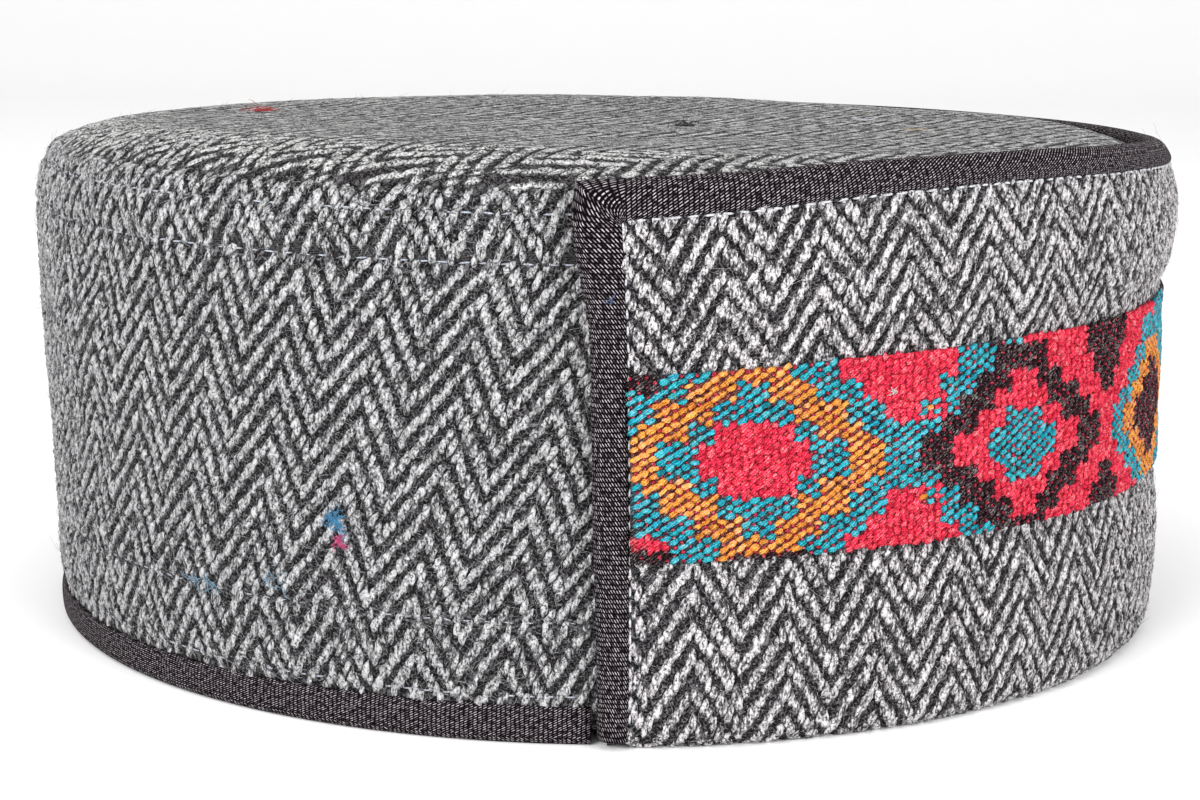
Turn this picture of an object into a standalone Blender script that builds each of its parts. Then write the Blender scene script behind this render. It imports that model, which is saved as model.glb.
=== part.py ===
"""A Kullu cap: a round tweed cap with a turned-up front flap, black bindings and a woven border.

Metres, +Z up. The cap stands on its rim at z = 0. Its front is towards -Y and the wearer's right
side towards -X. The origin is at the middle of its footprint.

Places on the cap are given by a bearing, in degrees, which is 0 at the wearer's right, 90 at the
front, 180 at the left and 270 at the back, by a height, and by how far out they stand from the
wall's widest line.
"""

import math

import bpy
import numpy as np

MM = 0.001

# Driving sizes
WALL_HALF_WIDTH = 91.5 * MM
WALL_TO_FRONT = 92.0 * MM
WALL_TO_BACK = 93.7 * MM
WALL_CLOTH = 2.4 * MM
CROWN_CLOTH = 2.2 * MM
FLAP_CLOTH = 1.5 * MM
BORDER_CLOTH = 0.8 * MM
TAPE = 0.5 * MM
GAP = 0.3 * MM

# Lengths along the flap are measured round this radius
FLAP_RADIUS = 95.0 * MM

# The wall's outer line, from its foot to the crown's seam
WALL_COLUMNS = ("height", "outward")
WALL_ROWS = (
    (2.1, -2.25),
    (6.0, -2.25),
    (7.4, -1.50),
    (17.0, -1.40),
    (35.0, -0.95),
    (43.5, -0.40),
    (52.0, 0.00),
    (62.0, 0.15),
    (68.5, 0.20),
    (72.5, -0.25),
    (75.2, -1.10),
    (77.0, -2.00),
    (78.2, -3.00),
)

# The flap's outer line between its bottom fold and its top tape, at the cap's sides and at its front
FLAP_COLUMNS = ("height", "at_sides", "at_front")
FLAP_ROWS = (
    (3.0, 0.60, 2.50),
    (10.0, 0.80, 3.00),
    (18.0, 0.90, 2.90),
    (23.0, 0.90, 2.20),
    (29.0, 0.90, 1.40),
    (36.0, 1.10, 1.10),
    (45.0, 1.60, 1.40),
    (53.0, 2.00, 0.90),
    (57.0, 2.60, 1.60),
    (61.0, 3.10, 3.10),
    (67.0, 3.50, 3.80),
    (71.5, 3.65, 3.60),
)

# The top tape's outer face by bearing: its sewn edge, and its folded edge, which is the flap's free edge
TOP_TAPE_COLUMNS = ("bearing", "sewn_height", "sewn_outward", "folded_height", "folded_outward")
TOP_TAPE_ROWS = (
    (0.0, 74.7, 4.50, 80.1, 2.80),
    (12.0, 76.2, 4.55, 81.1, 2.65),
    (22.0, 77.8, 4.50, 82.2, 2.40),
    (33.0, 78.6, 4.40, 82.5, 2.10),
    (45.0, 78.5, 4.20, 82.3, 1.90),
    (60.0, 77.7, 3.70, 81.4, 1.60),
    (75.0, 76.6, 3.00, 80.2, 1.25),
    (90.0, 75.8, 2.60, 79.2, 1.05),
    (105.0, 75.2, 2.80, 78.8, 1.20),
    (120.0, 74.6, 3.20, 78.4, 1.50),
    (150.0, 73.7, 4.00, 78.1, 2.30),
    (180.0, 73.4, 4.50, 78.1, 2.80),
)

# The crown's top line, from its seam to the middle, as shares of the seam's radius
CROWN_COLUMNS = ("share", "height")
CROWN_ROWS = (
    (1.000, 78.45),
    (0.991, 79.05),
    (0.970, 79.35),
    (0.920, 79.40),
    (0.750, 79.10),
    (0.450, 78.90),
    (0.000, 78.80),
)
CROWN_SEAM_OUTWARD = -3.90 * MM

# The tape at the flap's end: its folded edge and its sewn edge, from the cap's side towards the front
END_TAPE_COLUMNS = ("height", "folded_edge", "sewn_edge")
END_TAPE_ROWS = (
    (0.0, 0.1, 4.6),
    (9.0, 0.1, 4.6),
    (34.0, -0.8, 4.3),
    (56.0, -1.2, 3.8),
    (62.0, -1.6, 3.5),
    (70.0, -3.3, 3.1),
    (74.0, -3.9, 2.8),
)
TAPE_CORNER_RADIUS = 0.5 * MM
TAPE_CORNER_SHARES = (0.36, 0.70, 1.0, 1.32, 1.70)
END_TAPE_HEIGHTS = (4.0, 7.0, 14.0, 24.0, 34.0, 45.0, 56.0, 65.0)

# The tape over the wall's foot
LOWER_TAPE_AT_BACK = 4.7 * MM
LOWER_TAPE_AT_SIDES = 5.6 * MM
LOWER_TAPE_ROUNDING = 1.0 * MM
LOWER_TAPE_START = 180.5
LOWER_TAPE_END = 359.5

# The woven border's lower and upper edge, by length from the cap's side
BORDER_COLUMNS = ("length", "lower_edge", "upper_edge")
BORDER_ROWS = (
    (0.0, 27.1, 53.6),
    (18.0, 27.6, 54.2),
    (36.0, 27.9, 55.2),
    (60.0, 27.9, 55.8),
    (150.0, 27.5, 55.8),
)
BORDER_HEIGHT_STEPS = 4

# The wall is pressed in behind the flap
FLAP_PRESS = 0.8 * MM
PRESS_BEGINS = -8.0
PRESS_FULL = -1.5

FOLD_RADIUS = 3.0 * MM
FOLD_ANGLES = (0, 30, 60)
STEP_ROUND = 5.0

TWEED = (0.30, 0.30, 0.31)
BLACK_TAPE = (0.035, 0.028, 0.032)
WOVEN = (0.10, 0.42, 0.45)


def column(rows, names, name):
    """One named column of a table, as it is written there."""
    return np.array([row[names.index(name)] for row in rows], dtype=float)


def smooth_step(value, low, high):
    """0 at low and below, 1 at high and above, with an even ease between."""
    share = min(max((value - low) / (high - low), 0.0), 1.0)
    return share * share * (3.0 - 2.0 * share)


def read_table(rows, names, wanted, at):
    """A length read from a table of millimetres at a length in metres, with straight lines between rows."""
    return float(np.interp(at / MM, column(rows, names, names[0]), column(rows, names, wanted))) * MM


def top_tape(bearing, wanted):
    """One of the top tape's lengths at a bearing."""
    bearings = column(TOP_TAPE_ROWS, TOP_TAPE_COLUMNS, "bearing")
    return float(np.interp(bearing, bearings, column(TOP_TAPE_ROWS, TOP_TAPE_COLUMNS, wanted))) * MM


def flap_line(bearing):
    """The heights and outward distances of the flap's outer face at a bearing, above its bottom fold."""
    to_front = math.sin(math.radians(bearing)) ** 2
    heights = list(column(FLAP_ROWS, FLAP_COLUMNS, "height") * MM)
    at_sides = column(FLAP_ROWS, FLAP_COLUMNS, "at_sides") * MM
    at_front = column(FLAP_ROWS, FLAP_COLUMNS, "at_front") * MM
    outwards = list(at_sides + (at_front - at_sides) * to_front)
    for edge in ("sewn", "folded"):
        heights.append(top_tape(bearing, edge + "_height"))
        outwards.append(top_tape(bearing, edge + "_outward") - TAPE_BUILD)
    return heights, outwards


def flap_outward(bearing, height):
    """How far out the flap's outer face stands."""
    heights, outwards = flap_line(bearing)
    return float(np.interp(height, heights, outwards))


# The cap's length runs from the wall at the back to the flap at the front, and the origin is halfway
TAPE_BUILD = GAP + TAPE
FRONT_REACH = WALL_TO_FRONT + max(column(FLAP_ROWS, FLAP_COLUMNS, "at_front")) * MM
BACK_REACH = WALL_TO_BACK + max(column(WALL_ROWS, WALL_COLUMNS, "outward")) * MM
WALL_SHIFT = (FRONT_REACH - BACK_REACH) / 2


def place(bearing, height, outward):
    """The point at a bearing, a height and a distance out from the wall's widest line."""
    angle = math.radians(bearing)
    wall_reach = WALL_TO_FRONT if math.sin(angle) > 0.0 else WALL_TO_BACK
    return (
        -(WALL_HALF_WIDTH + outward) * math.cos(angle),
        WALL_SHIFT - (wall_reach + outward) * math.sin(angle),
        height,
    )


def flap_bearing(length, left_side):
    """The bearing of a length along the flap from the cap's right side, or from its left side."""
    bearing = math.degrees(length / FLAP_RADIUS)
    return 180.0 - bearing if left_side else bearing


def flap_lean(bearing, height):
    """How much longer a level line through the leaning cloth is than its thickness there."""
    reach = 1.0 * MM
    rise = flap_outward(bearing, height + reach) - flap_outward(bearing, height - reach)
    return math.hypot(1.0, rise / (2.0 * reach))


def flap_place(length, height, offset, left_side=False):
    """The point on the flap at a length from the cap's side, and an offset out from mid-cloth."""
    bearing = flap_bearing(length, left_side)
    from_face = (offset - FLAP_CLOTH / 2) * flap_lean(bearing, height)
    return place(bearing, height, flap_outward(bearing, height) + from_face)


def make_material(name, colour, roughness):
    """A plain cloth finish."""
    material = bpy.data.materials.new(name)
    material.use_nodes = True
    shader = material.node_tree.nodes["Principled BSDF"]
    shader.inputs["Base Color"].default_value = (*colour, 1.0)
    shader.inputs["Roughness"].default_value = roughness
    shader.inputs["Metallic"].default_value = 0.0
    material.diffuse_color = (*colour, 1.0)
    return material


def make_sheet(name, rows, material, collection, wraps=False):
    """A sheet through rows of points, each running towards a higher bearing. Wraps joins a row's ends."""
    count = len(rows[0])
    points = [point for row in rows for point in row]
    faces = []
    for low in range(len(rows) - 1):
        for start in range(count if wraps else count - 1):
            end = (start + 1) % count
            faces.append((low * count + start, low * count + end, (low + 1) * count + end, (low + 1) * count + start))
    mesh = bpy.data.meshes.new(name)
    mesh.from_pydata(points, [], faces)
    mesh.materials.append(material)
    mesh.shade_smooth()
    sheet = bpy.data.objects.new(name, mesh)
    collection.objects.link(sheet)
    return sheet


def thicken(sheet, thickness):
    """Gives a sheet its thickness, on its inner side."""
    solidify = sheet.modifiers.new("cloth", "SOLIDIFY")
    solidify.thickness = thickness
    solidify.offset = -1.0
    solidify.use_even_offset = True
    solidify.use_quality_normals = True


def wall_outward(bearing, height, outward):
    """The wall's outer line, pressed in behind the flap between its foot and its shoulder."""
    from_right = bearing if bearing < 270.0 else bearing - 360.0
    past_end = min(from_right, 180.0 - from_right)
    behind_flap = smooth_step(past_end, PRESS_BEGINS, PRESS_FULL)
    between = smooth_step(height, 6.0 * MM, 10.0 * MM) * (1.0 - smooth_step(height, 58.0 * MM, 70.0 * MM))
    return outward - FLAP_PRESS * behind_flap * between


def make_side_wall(material, collection):
    """The ring under the crown, from its foot inside the bindings to its turned-over top."""
    bearings = np.arange(0.0, 360.0, STEP_ROUND)
    rows = [
        [place(bearing, height * MM, wall_outward(bearing, height * MM, outward * MM)) for bearing in bearings]
        for height, outward in WALL_ROWS
    ]
    wall = make_sheet("side_wall", rows, material, collection, wraps=True)
    thicken(wall, WALL_CLOTH)


def make_crown(material, collection):
    """The round top, with a point in the middle and rings out to the seam."""
    bearings = np.arange(0.0, 360.0, STEP_ROUND)
    middle = np.array((0.0, WALL_SHIFT, 0.0))
    rings = []
    for share, height in CROWN_ROWS[:-1]:
        seam = np.array([place(bearing, height * MM, CROWN_SEAM_OUTWARD) for bearing in bearings])
        ring = middle + (seam - middle) * (share, share, 1.0)
        rings.append([tuple(point) for point in ring])
    crown = make_sheet("crown", rings, material, collection, wraps=True)
    close_middle(crown.data, len(bearings), CROWN_ROWS[-1][1] * MM)
    thicken(crown, CROWN_CLOTH)


def close_middle(mesh, count, height):
    """Closes the innermost ring, which is the last one, with a fan of faces round a middle point."""
    points = [tuple(vertex.co) for vertex in mesh.vertices]
    faces = [tuple(polygon.vertices) for polygon in mesh.polygons]
    first = len(points) - count
    faces += [(first + step, first + (step + 1) % count, len(points)) for step in range(count)]
    points.append((0.0, WALL_SHIFT, height))
    mesh.clear_geometry()
    mesh.from_pydata(points, [], faces)
    mesh.shade_smooth()


def tape_edge_inside():
    """How far the cloth's edge stays inside the tape's folded edge."""
    return TAPE + 2.0 * GAP + 0.4 * MM


def flap_profile(bearing):
    """The flap's outer line: out under the wall's foot, round the bottom fold, and up to the free edge."""
    foot = WALL_ROWS[0][1] * MM - WALL_CLOTH
    centre = flap_outward(bearing, FOLD_RADIUS) - FOLD_RADIUS
    line = [(foot, 0.0)]
    for degrees in FOLD_ANGLES:
        angle = math.radians(degrees)
        line.append((centre + FOLD_RADIUS * math.sin(angle), FOLD_RADIUS * (1.0 - math.cos(angle))))
    heights, _ = flap_line(bearing)
    heights[-1] -= tape_edge_inside()
    line += [(flap_outward(bearing, height), height) for height in heights]
    return line


def flap_end(height, left_side):
    """The bearing of the cloth's end at a height."""
    edge = read_table(END_TAPE_ROWS, END_TAPE_COLUMNS, "folded_edge", height) + tape_edge_inside()
    return flap_bearing(edge, left_side)


def flap_bearings(right_height, left_height):
    """The bearings of the cloth's columns along a line that ends at these two heights."""
    steps = int(180.0 / STEP_ROUND)
    return np.linspace(flap_end(right_height, False), flap_end(left_height, True), steps + 1)


def make_flap(material, collection):
    """The turned-up front half, with its ends leaning as the end tapes do."""
    rows = []
    for index, ((_, right), (_, left)) in enumerate(zip(flap_profile(0.0), flap_profile(180.0))):
        row = []
        for bearing in flap_bearings(right, left):
            outward, height = flap_profile(bearing)[index]
            row.append(place(bearing, height, outward))
        rows.append(row)
    flap = make_sheet("flap", rows, material, collection)
    thicken(flap, FLAP_CLOTH)


def tape_section(width):
    """The folded tape's outer line from its outer sewn edge, over the fold, to its inner sewn edge.

    Each point is a distance towards the folded edge and an offset out from mid-cloth.
    """
    half = FLAP_CLOTH / 2 + TAPE_BUILD
    return (
        (0.0, half),
        (width - half, half),
        (width - 0.3 * half, 0.7 * half),
        (width, 0.0),
        (width - 0.3 * half, -0.7 * half),
        (width - half, -half),
        (0.0, -half),
    )


def end_tape_edges(height):
    """The tape's sewn and folded edge on the flap at a height, as lengths from the cap's side."""
    sewn = read_table(END_TAPE_ROWS, END_TAPE_COLUMNS, "sewn_edge", height)
    folded = read_table(END_TAPE_ROWS, END_TAPE_COLUMNS, "folded_edge", height)
    return sewn, folded


def tape_stations(left_side):
    """Pairs of points on the flap, sewn edge and folded edge, up the end and round the corner."""
    bearing = flap_bearing(0.0, left_side)
    top = top_tape(bearing, "folded_height")
    level = top_tape(bearing, "sewn_height") - TAPE_CORNER_RADIUS
    stations = []
    for height in [*(height * MM for height in END_TAPE_HEIGHTS), level]:
        sewn, folded = end_tape_edges(height)
        stations.append(((sewn, height), (folded, height)))
    corner = (sewn + TAPE_CORNER_RADIUS, level)
    diagonal = math.atan2(top - level, corner[0] - folded)
    for share in TAPE_CORNER_SHARES:
        angle = share * diagonal
        across, up = -math.cos(angle), math.sin(angle)
        reach = min((corner[0] - folded) / -across, (top - level) / up)
        inner = (corner[0] + TAPE_CORNER_RADIUS * across, level + TAPE_CORNER_RADIUS * up)
        outer = (corner[0] + reach * across, level + reach * up)
        stations.append((inner, outer))
    return stations, corner[0]


def section_points(sewn, folded, left_side):
    """The tape's section at one station, as points in space."""
    width = math.dist(sewn, folded)
    across, up = (folded[0] - sewn[0]) / width, (folded[1] - sewn[1]) / width
    return [
        flap_place(sewn[0] + across * along, sewn[1] + up * along, offset, left_side)
        for along, offset in tape_section(width)
    ]


def end_foot(left_side):
    """The lowest section of an end tape, which stops just above the flap's bottom fold."""
    sewn, folded = end_tape_edges(0.0)
    heights = (1.6, 1.6, 1.8, 2.2, 2.7, 3.1, 3.1)
    row = []
    for (along, offset), height in zip(tape_section(sewn - folded), heights):
        fold_free = max(height * MM, FOLD_RADIUS)
        x, y, _ = flap_place(sewn - along, fold_free, offset, left_side)
        row.append((x, y, height * MM))
    return row


def top_section(bearing):
    """The tape's section across the flap's top edge, as points in space."""
    length = math.radians(bearing) * FLAP_RADIUS
    sewn = (length, top_tape(bearing, "sewn_height"))
    folded = (length, top_tape(bearing, "folded_height"))
    return section_points(sewn, folded, False)


def make_flap_binding(material, collection):
    """One tape, folded over the flap's free edge from rim to rim, bending where the cloth does."""
    right, right_corner = tape_stations(False)
    left, left_corner = tape_stations(True)
    first, last = flap_bearing(right_corner, False), flap_bearing(left_corner, True)
    cloth = flap_bearings(top_tape(0.0, "folded_height"), top_tape(180.0, "folded_height"))
    between = [bearing for bearing in cloth if first + 1.0 < bearing < last - 1.0]
    sections = [end_foot(False)]
    sections += [section_points(sewn, folded, False) for sewn, folded in right]
    sections += [top_section(bearing) for bearing in (first, *between, last)]
    sections += [section_points(sewn, folded, True) for sewn, folded in reversed(left)]
    sections.append(end_foot(True))
    rows = [list(row) for row in zip(*sections)]
    tape = make_sheet("flap_binding", rows, material, collection)
    thicken(tape, TAPE)


def make_lower_binding(material, collection):
    """The tape folded over the wall's foot, round the back half, with a flat underside."""
    outer = WALL_ROWS[0][1] * MM + TAPE_BUILD
    inner = WALL_ROWS[0][1] * MM - WALL_CLOTH - TAPE_BUILD
    bend = LOWER_TAPE_ROUNDING
    line = (
        (inner, LOWER_TAPE_AT_SIDES),
        (inner, bend),
        (inner + 0.3 * bend, 0.3 * bend),
        (inner + bend, 0.0),
        (outer - bend, 0.0),
        (outer - 0.3 * bend, 0.3 * bend),
        (outer, bend),
        (outer, LOWER_TAPE_AT_SIDES),
    )
    count = int((LOWER_TAPE_END - LOWER_TAPE_START) / STEP_ROUND)
    bearings = np.linspace(LOWER_TAPE_START, LOWER_TAPE_END, count + 1)
    rows = []
    for outward, height in line:
        to_back = np.sin(np.radians(bearings)) ** 2
        drop = (LOWER_TAPE_AT_SIDES - LOWER_TAPE_AT_BACK) * to_back * (height > bend)
        rows.append([place(bearing, level, outward) for bearing, level in zip(bearings, height - drop)])
    tape = make_sheet("lower_binding", rows, material, collection)
    thicken(tape, TAPE)


def make_woven_border(material, collection):
    """The strip across the flap, from one end tape to the other, rising a little towards the front."""
    half_round = math.pi * FLAP_RADIUS
    steps = int(180.0 / STEP_ROUND)
    offset = FLAP_CLOTH / 2 + GAP + BORDER_CLOTH
    rows = []
    for level in np.linspace(0.0, 1.0, BORDER_HEIGHT_STEPS + 1):
        end_height = (BORDER_ROWS[0][1] + level * (BORDER_ROWS[0][2] - BORDER_ROWS[0][1])) * MM
        start = end_tape_edges(end_height)[0] + GAP
        row = []
        for length in np.linspace(start, half_round - start, steps + 1):
            from_side = min(length, half_round - length)
            low = read_table(BORDER_ROWS, BORDER_COLUMNS, "lower_edge", from_side)
            high = read_table(BORDER_ROWS, BORDER_COLUMNS, "upper_edge", from_side)
            row.append(flap_place(length, low + level * (high - low), offset))
        rows.append(row)
    border = make_sheet("woven_border", rows, material, collection)
    thicken(border, BORDER_CLOTH)


def main():
    """Clears the scene and builds the cap's six pieces."""
    for thing in list(bpy.data.objects):
        bpy.data.objects.remove(thing, do_unlink=True)
    collection = bpy.data.collections.new("kullu_cap")
    bpy.context.scene.collection.children.link(collection)
    make_side_wall(make_material("side_wall_tweed", TWEED, 0.9), collection)
    make_crown(make_material("crown_tweed", TWEED, 0.9), collection)
    make_flap(make_material("flap_tweed", TWEED, 0.9), collection)
    make_flap_binding(make_material("flap_tape", BLACK_TAPE, 0.6), collection)
    make_lower_binding(make_material("lower_tape", BLACK_TAPE, 0.6), collection)
    make_woven_border(make_material("border_weave", WOVEN, 0.8), collection)


main()
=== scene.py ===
"""The looks of a Kullu cap: its herringbone tweed, its black tapes and its woven border.

Lengths are millimetres until a mesh is made, and +Z is up. The cap stands on its rim at z = 0, with
its front towards -Y and the wearer's right side, which the camera looks at, towards -X. A bearing is
in degrees, 0 at the wearer's right, 90 at the front, 180 at the left and 270 at the back.
"""

import logging
import math
from dataclasses import dataclass, field
from enum import Enum
from typing import Callable, Sequence

import bpy
import numpy as np
from mathutils import Matrix, Vector

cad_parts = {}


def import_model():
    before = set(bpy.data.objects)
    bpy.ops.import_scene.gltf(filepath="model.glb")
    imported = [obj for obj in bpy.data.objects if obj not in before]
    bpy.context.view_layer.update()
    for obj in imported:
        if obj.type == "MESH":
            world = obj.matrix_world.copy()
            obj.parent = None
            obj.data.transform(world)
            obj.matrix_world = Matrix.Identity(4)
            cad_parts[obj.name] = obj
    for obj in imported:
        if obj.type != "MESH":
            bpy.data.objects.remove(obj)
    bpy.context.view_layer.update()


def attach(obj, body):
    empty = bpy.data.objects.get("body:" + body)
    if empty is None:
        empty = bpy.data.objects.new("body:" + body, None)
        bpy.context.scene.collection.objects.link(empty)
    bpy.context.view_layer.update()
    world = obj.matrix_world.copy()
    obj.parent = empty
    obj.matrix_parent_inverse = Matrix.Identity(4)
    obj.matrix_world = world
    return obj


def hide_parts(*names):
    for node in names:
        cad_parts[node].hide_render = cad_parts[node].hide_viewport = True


Array = np.ndarray
Surface = Callable[[Array, Array], Array]
Colour = tuple[float, float, float]

MM = 0.001
BODY = "root"
log = logging.getLogger("kullu_cap")


# Small numpy helpers


def column(rows: Sequence[Sequence[float]], index: int) -> Array:
    """One column of a table."""
    return np.array([row[index] for row in rows], dtype=float)


def eased(at: Array, steps: Array, values: Array, reach: float) -> Array:
    """Reads a table with straight lines between its rows and rounds its corners.

    It is the mean of seven readings spread evenly from -reach to +reach, with binomial weights.

    Args:
        at: Where to read.
        steps: The table's rising first column.
        values: The column that is read.
        reach: How far the rounding goes.

    Returns:
        The readings, in the shape of at.
    """
    weights = np.array((1, 6, 15, 20, 15, 6, 1)) / 64.0
    total = np.zeros(np.shape(at))
    for weight, offset in zip(weights, np.linspace(-reach, reach, len(weights))):
        total = total + weight * np.interp(at + offset, steps, values)
    return total


def smooth_step(value: Array, low: float, high: float) -> Array:
    """0 at low and below, 1 at high and above, and 3t^2 - 2t^3 between."""
    share = np.clip((value - low) / (high - low), 0.0, 1.0)
    return share * share * (3.0 - 2.0 * share)


def bell(value: Array, centre: float, width: float) -> Array:
    """e to the minus squared distance from the centre over the width."""
    return np.exp(-(((value - centre) / width) ** 2))


def unit(vectors: Array) -> Array:
    """Vectors over their own lengths."""
    return vectors / np.maximum(np.linalg.norm(vectors, axis=-1, keepdims=True), 1e-9)


def ripple(first: Array, second: Array, size: float, seed: int) -> Array:
    """A slow uneven wave: the sum of six sines of first and second with drawn slopes and phases.

    Args:
        first: A length in one direction.
        second: A length in the other direction.
        size: About how high the wave is.
        seed: Which draw is used.

    Returns:
        The wave's height at each pair of lengths.
    """
    draw = np.random.default_rng(seed)
    total = np.zeros(np.broadcast(first, second).shape)
    for _ in range(6):
        slope_one, slope_two = draw.uniform(-0.22, 0.22, 2)
        total = total + np.sin(slope_one * first + slope_two * second + draw.uniform(0.0, 2.0 * math.pi))
    return total * size / 2.4


@dataclass(frozen=True)
class LocalFrames:
    """Places on a surface with their three directions.

    Attributes:
        origin: The places, n by 3.
        across: Unit vectors along the first parameter.
        along: Unit vectors along the second parameter.
        out: Unit vectors away from the surface.
    """

    origin: Array
    across: Array
    along: Array
    out: Array

    def turned(self, degrees: Array) -> "LocalFrames":
        """The same places with across and along turned in the surface, anticlockwise seen from outside."""
        angle = np.radians(np.broadcast_to(degrees, (len(self.origin),)))[:, None]
        across = self.across * np.cos(angle) + self.along * np.sin(angle)
        along = self.along * np.cos(angle) - self.across * np.sin(angle)
        return LocalFrames(self.origin, across, along, self.out)


def frames_on(surface: Surface, first: Array, second: Array) -> LocalFrames:
    """Frames on a surface, from differences over 0.2 mm of each parameter.

    Args:
        surface: The shape, as a function of two lengths.
        first: The first lengths.
        second: The second lengths.

    Returns:
        A frame at each pair of lengths.
    """
    reach = 0.2
    across = unit(surface(first + reach, second) - surface(first - reach, second))
    rise = surface(first, second + reach) - surface(first, second - reach)
    out = unit(np.cross(across, rise))
    return LocalFrames(surface(first, second), across, np.cross(out, across), out)


def run_along(points: Array) -> Array:
    """The length along a line of points, from 0 at its first."""
    return np.concatenate(((0.0,), np.cumsum(np.linalg.norm(np.diff(points, axis=0), axis=1))))


def grid_normals(points: Array, wraps: bool) -> Array:
    """Unit normals of a grid of points, the cross product of its column and row differences."""
    if wraps:
        along_row = np.roll(points, -1, axis=1) - np.roll(points, 1, axis=1)
    else:
        along_row = np.gradient(points, axis=1)
    return unit(np.cross(along_row, np.gradient(points, axis=0)))


# Meshes


@dataclass
class MeshDraft:
    """A mesh on its way into Blender.

    Attributes:
        points: The vertices in millimetres, n by 3.
        faces: Arrays of faces, each m by 3 or m by 4 indices.
        corner_uv: One pair for each corner of each face, in the faces' order.
        values: Named numbers, one for each vertex.
        colours: A linear colour for each vertex, n by 3.
    """

    points: Array
    faces: list[Array]
    corner_uv: Array | None = None
    values: dict[str, Array] = field(default_factory=dict)
    colours: Array | None = None

    def build(self, name: str, material: bpy.types.Material, slot: str) -> bpy.types.Object:
        """Makes the object, which rides on the cap's one body, and flattens it where it rests.

        Args:
            name: The piece's name.
            material: Its finish.
            slot: The record's material slot that the finish belongs to. It is not used.

        Returns:
            The new object, at the origin.
        """
        mesh = bpy.data.meshes.new(name)
        self.points[:, 2] = np.maximum(self.points[:, 2], 0.0)
        corners = [face for block in self.faces for face in block.tolist()]
        mesh.from_pydata((self.points * MM).tolist(), [], corners)
        mesh.materials.append(material)
        mesh.shade_smooth()
        if self.corner_uv is not None:
            layer = mesh.uv_layers.new(name="weave")
            layer.data.foreach_set("uv", self.corner_uv.astype(np.float32).ravel())
        for key, numbers in self.values.items():
            attribute = mesh.attributes.new(key, "FLOAT", "POINT")
            attribute.data.foreach_set("value", numbers.astype(np.float32))
        if self.colours is not None:
            attribute = mesh.attributes.new("yarn", "FLOAT_COLOR", "POINT")
            with_alpha = np.column_stack((self.colours, np.ones(len(self.colours))))
            attribute.data.foreach_set("color", with_alpha.astype(np.float32).ravel())
        piece = bpy.data.objects.new(name, mesh)
        bpy.context.scene.collection.objects.link(piece)
        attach(piece, BODY)
        triangles = sum(len(block) * (block.shape[1] - 2) for block in self.faces)
        log.info("%s: %d triangles", name, triangles)
        return piece


def shell(
    outer: Array, inner: Array, uv: Array, wraps: bool = False, poles: Array | None = None
) -> MeshDraft:
    """A closed skin round two grids of points that lie one behind the other.

    The outer grid's quads keep its own turn, the inner grid's are reversed, and strips of quads
    join the two along each open edge. Poles close the last row with fans instead.

    Args:
        outer: Rows by columns by 3, whose quads face outwards.
        inner: The same shape, behind it.
        uv: Rows by columns by 2, with one more column where the rows wrap.
        wraps: Whether a row's end joins its start.
        poles: The outer and the inner middle point that close the last row.

    Returns:
        The draft of a closed mesh.
    """
    rows, count = outer.shape[:2]
    steps = count if wraps else count - 1
    index = np.arange(rows * count).reshape(rows, count)
    index = np.concatenate((index, index[:, :1]), axis=1) if wraps else index
    pairs = uv.reshape(rows, steps + 1, 2)
    blocks, corner_uv = [], []

    def add(corners: list[tuple[Array, Array]]) -> None:
        """Adds one block of faces from the index and uv arrays of its corners."""
        blocks.append(np.stack([part.ravel() for part, _ in corners], axis=1))
        corner_uv.append(np.stack([pair.reshape(-1, 2) for _, pair in corners], axis=1).reshape(-1, 2))

    def corner(layer: int, row: slice | int, step: slice | int) -> tuple[Array, Array]:
        """The indices and uv pairs of a corner in one layer."""
        return index[row, step] + layer * rows * count, pairs[row, step]

    low, high, left, right = slice(0, rows - 1), slice(1, rows), slice(0, steps), slice(1, steps + 1)
    add([corner(0, low, left), corner(0, low, right), corner(0, high, right), corner(0, high, left)])
    add([corner(1, high, left), corner(1, high, right), corner(1, low, right), corner(1, low, left)])
    add([corner(0, 0, right), corner(0, 0, left), corner(1, 0, left), corner(1, 0, right)])
    points = np.concatenate((outer.reshape(-1, 3), inner.reshape(-1, 3)))
    last = rows - 1
    if poles is None:
        add([corner(0, last, left), corner(0, last, right), corner(1, last, right), corner(1, last, left)])
    else:
        top = np.full(steps, len(points))
        middle_uv = np.tile(pairs[last].mean(axis=0), (steps, 1))
        add([corner(0, last, left), corner(0, last, right), (top, middle_uv)])
        add([corner(1, last, right), corner(1, last, left), (top + 1, middle_uv)])
        points = np.concatenate((points, poles))
    if not wraps:
        add([corner(0, low, 0), corner(0, high, 0), corner(1, high, 0), corner(1, low, 0)])
        add([corner(0, high, steps), corner(0, low, steps), corner(1, low, steps), corner(1, high, steps)])
    return MeshDraft(points, blocks, np.concatenate(corner_uv))


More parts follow.
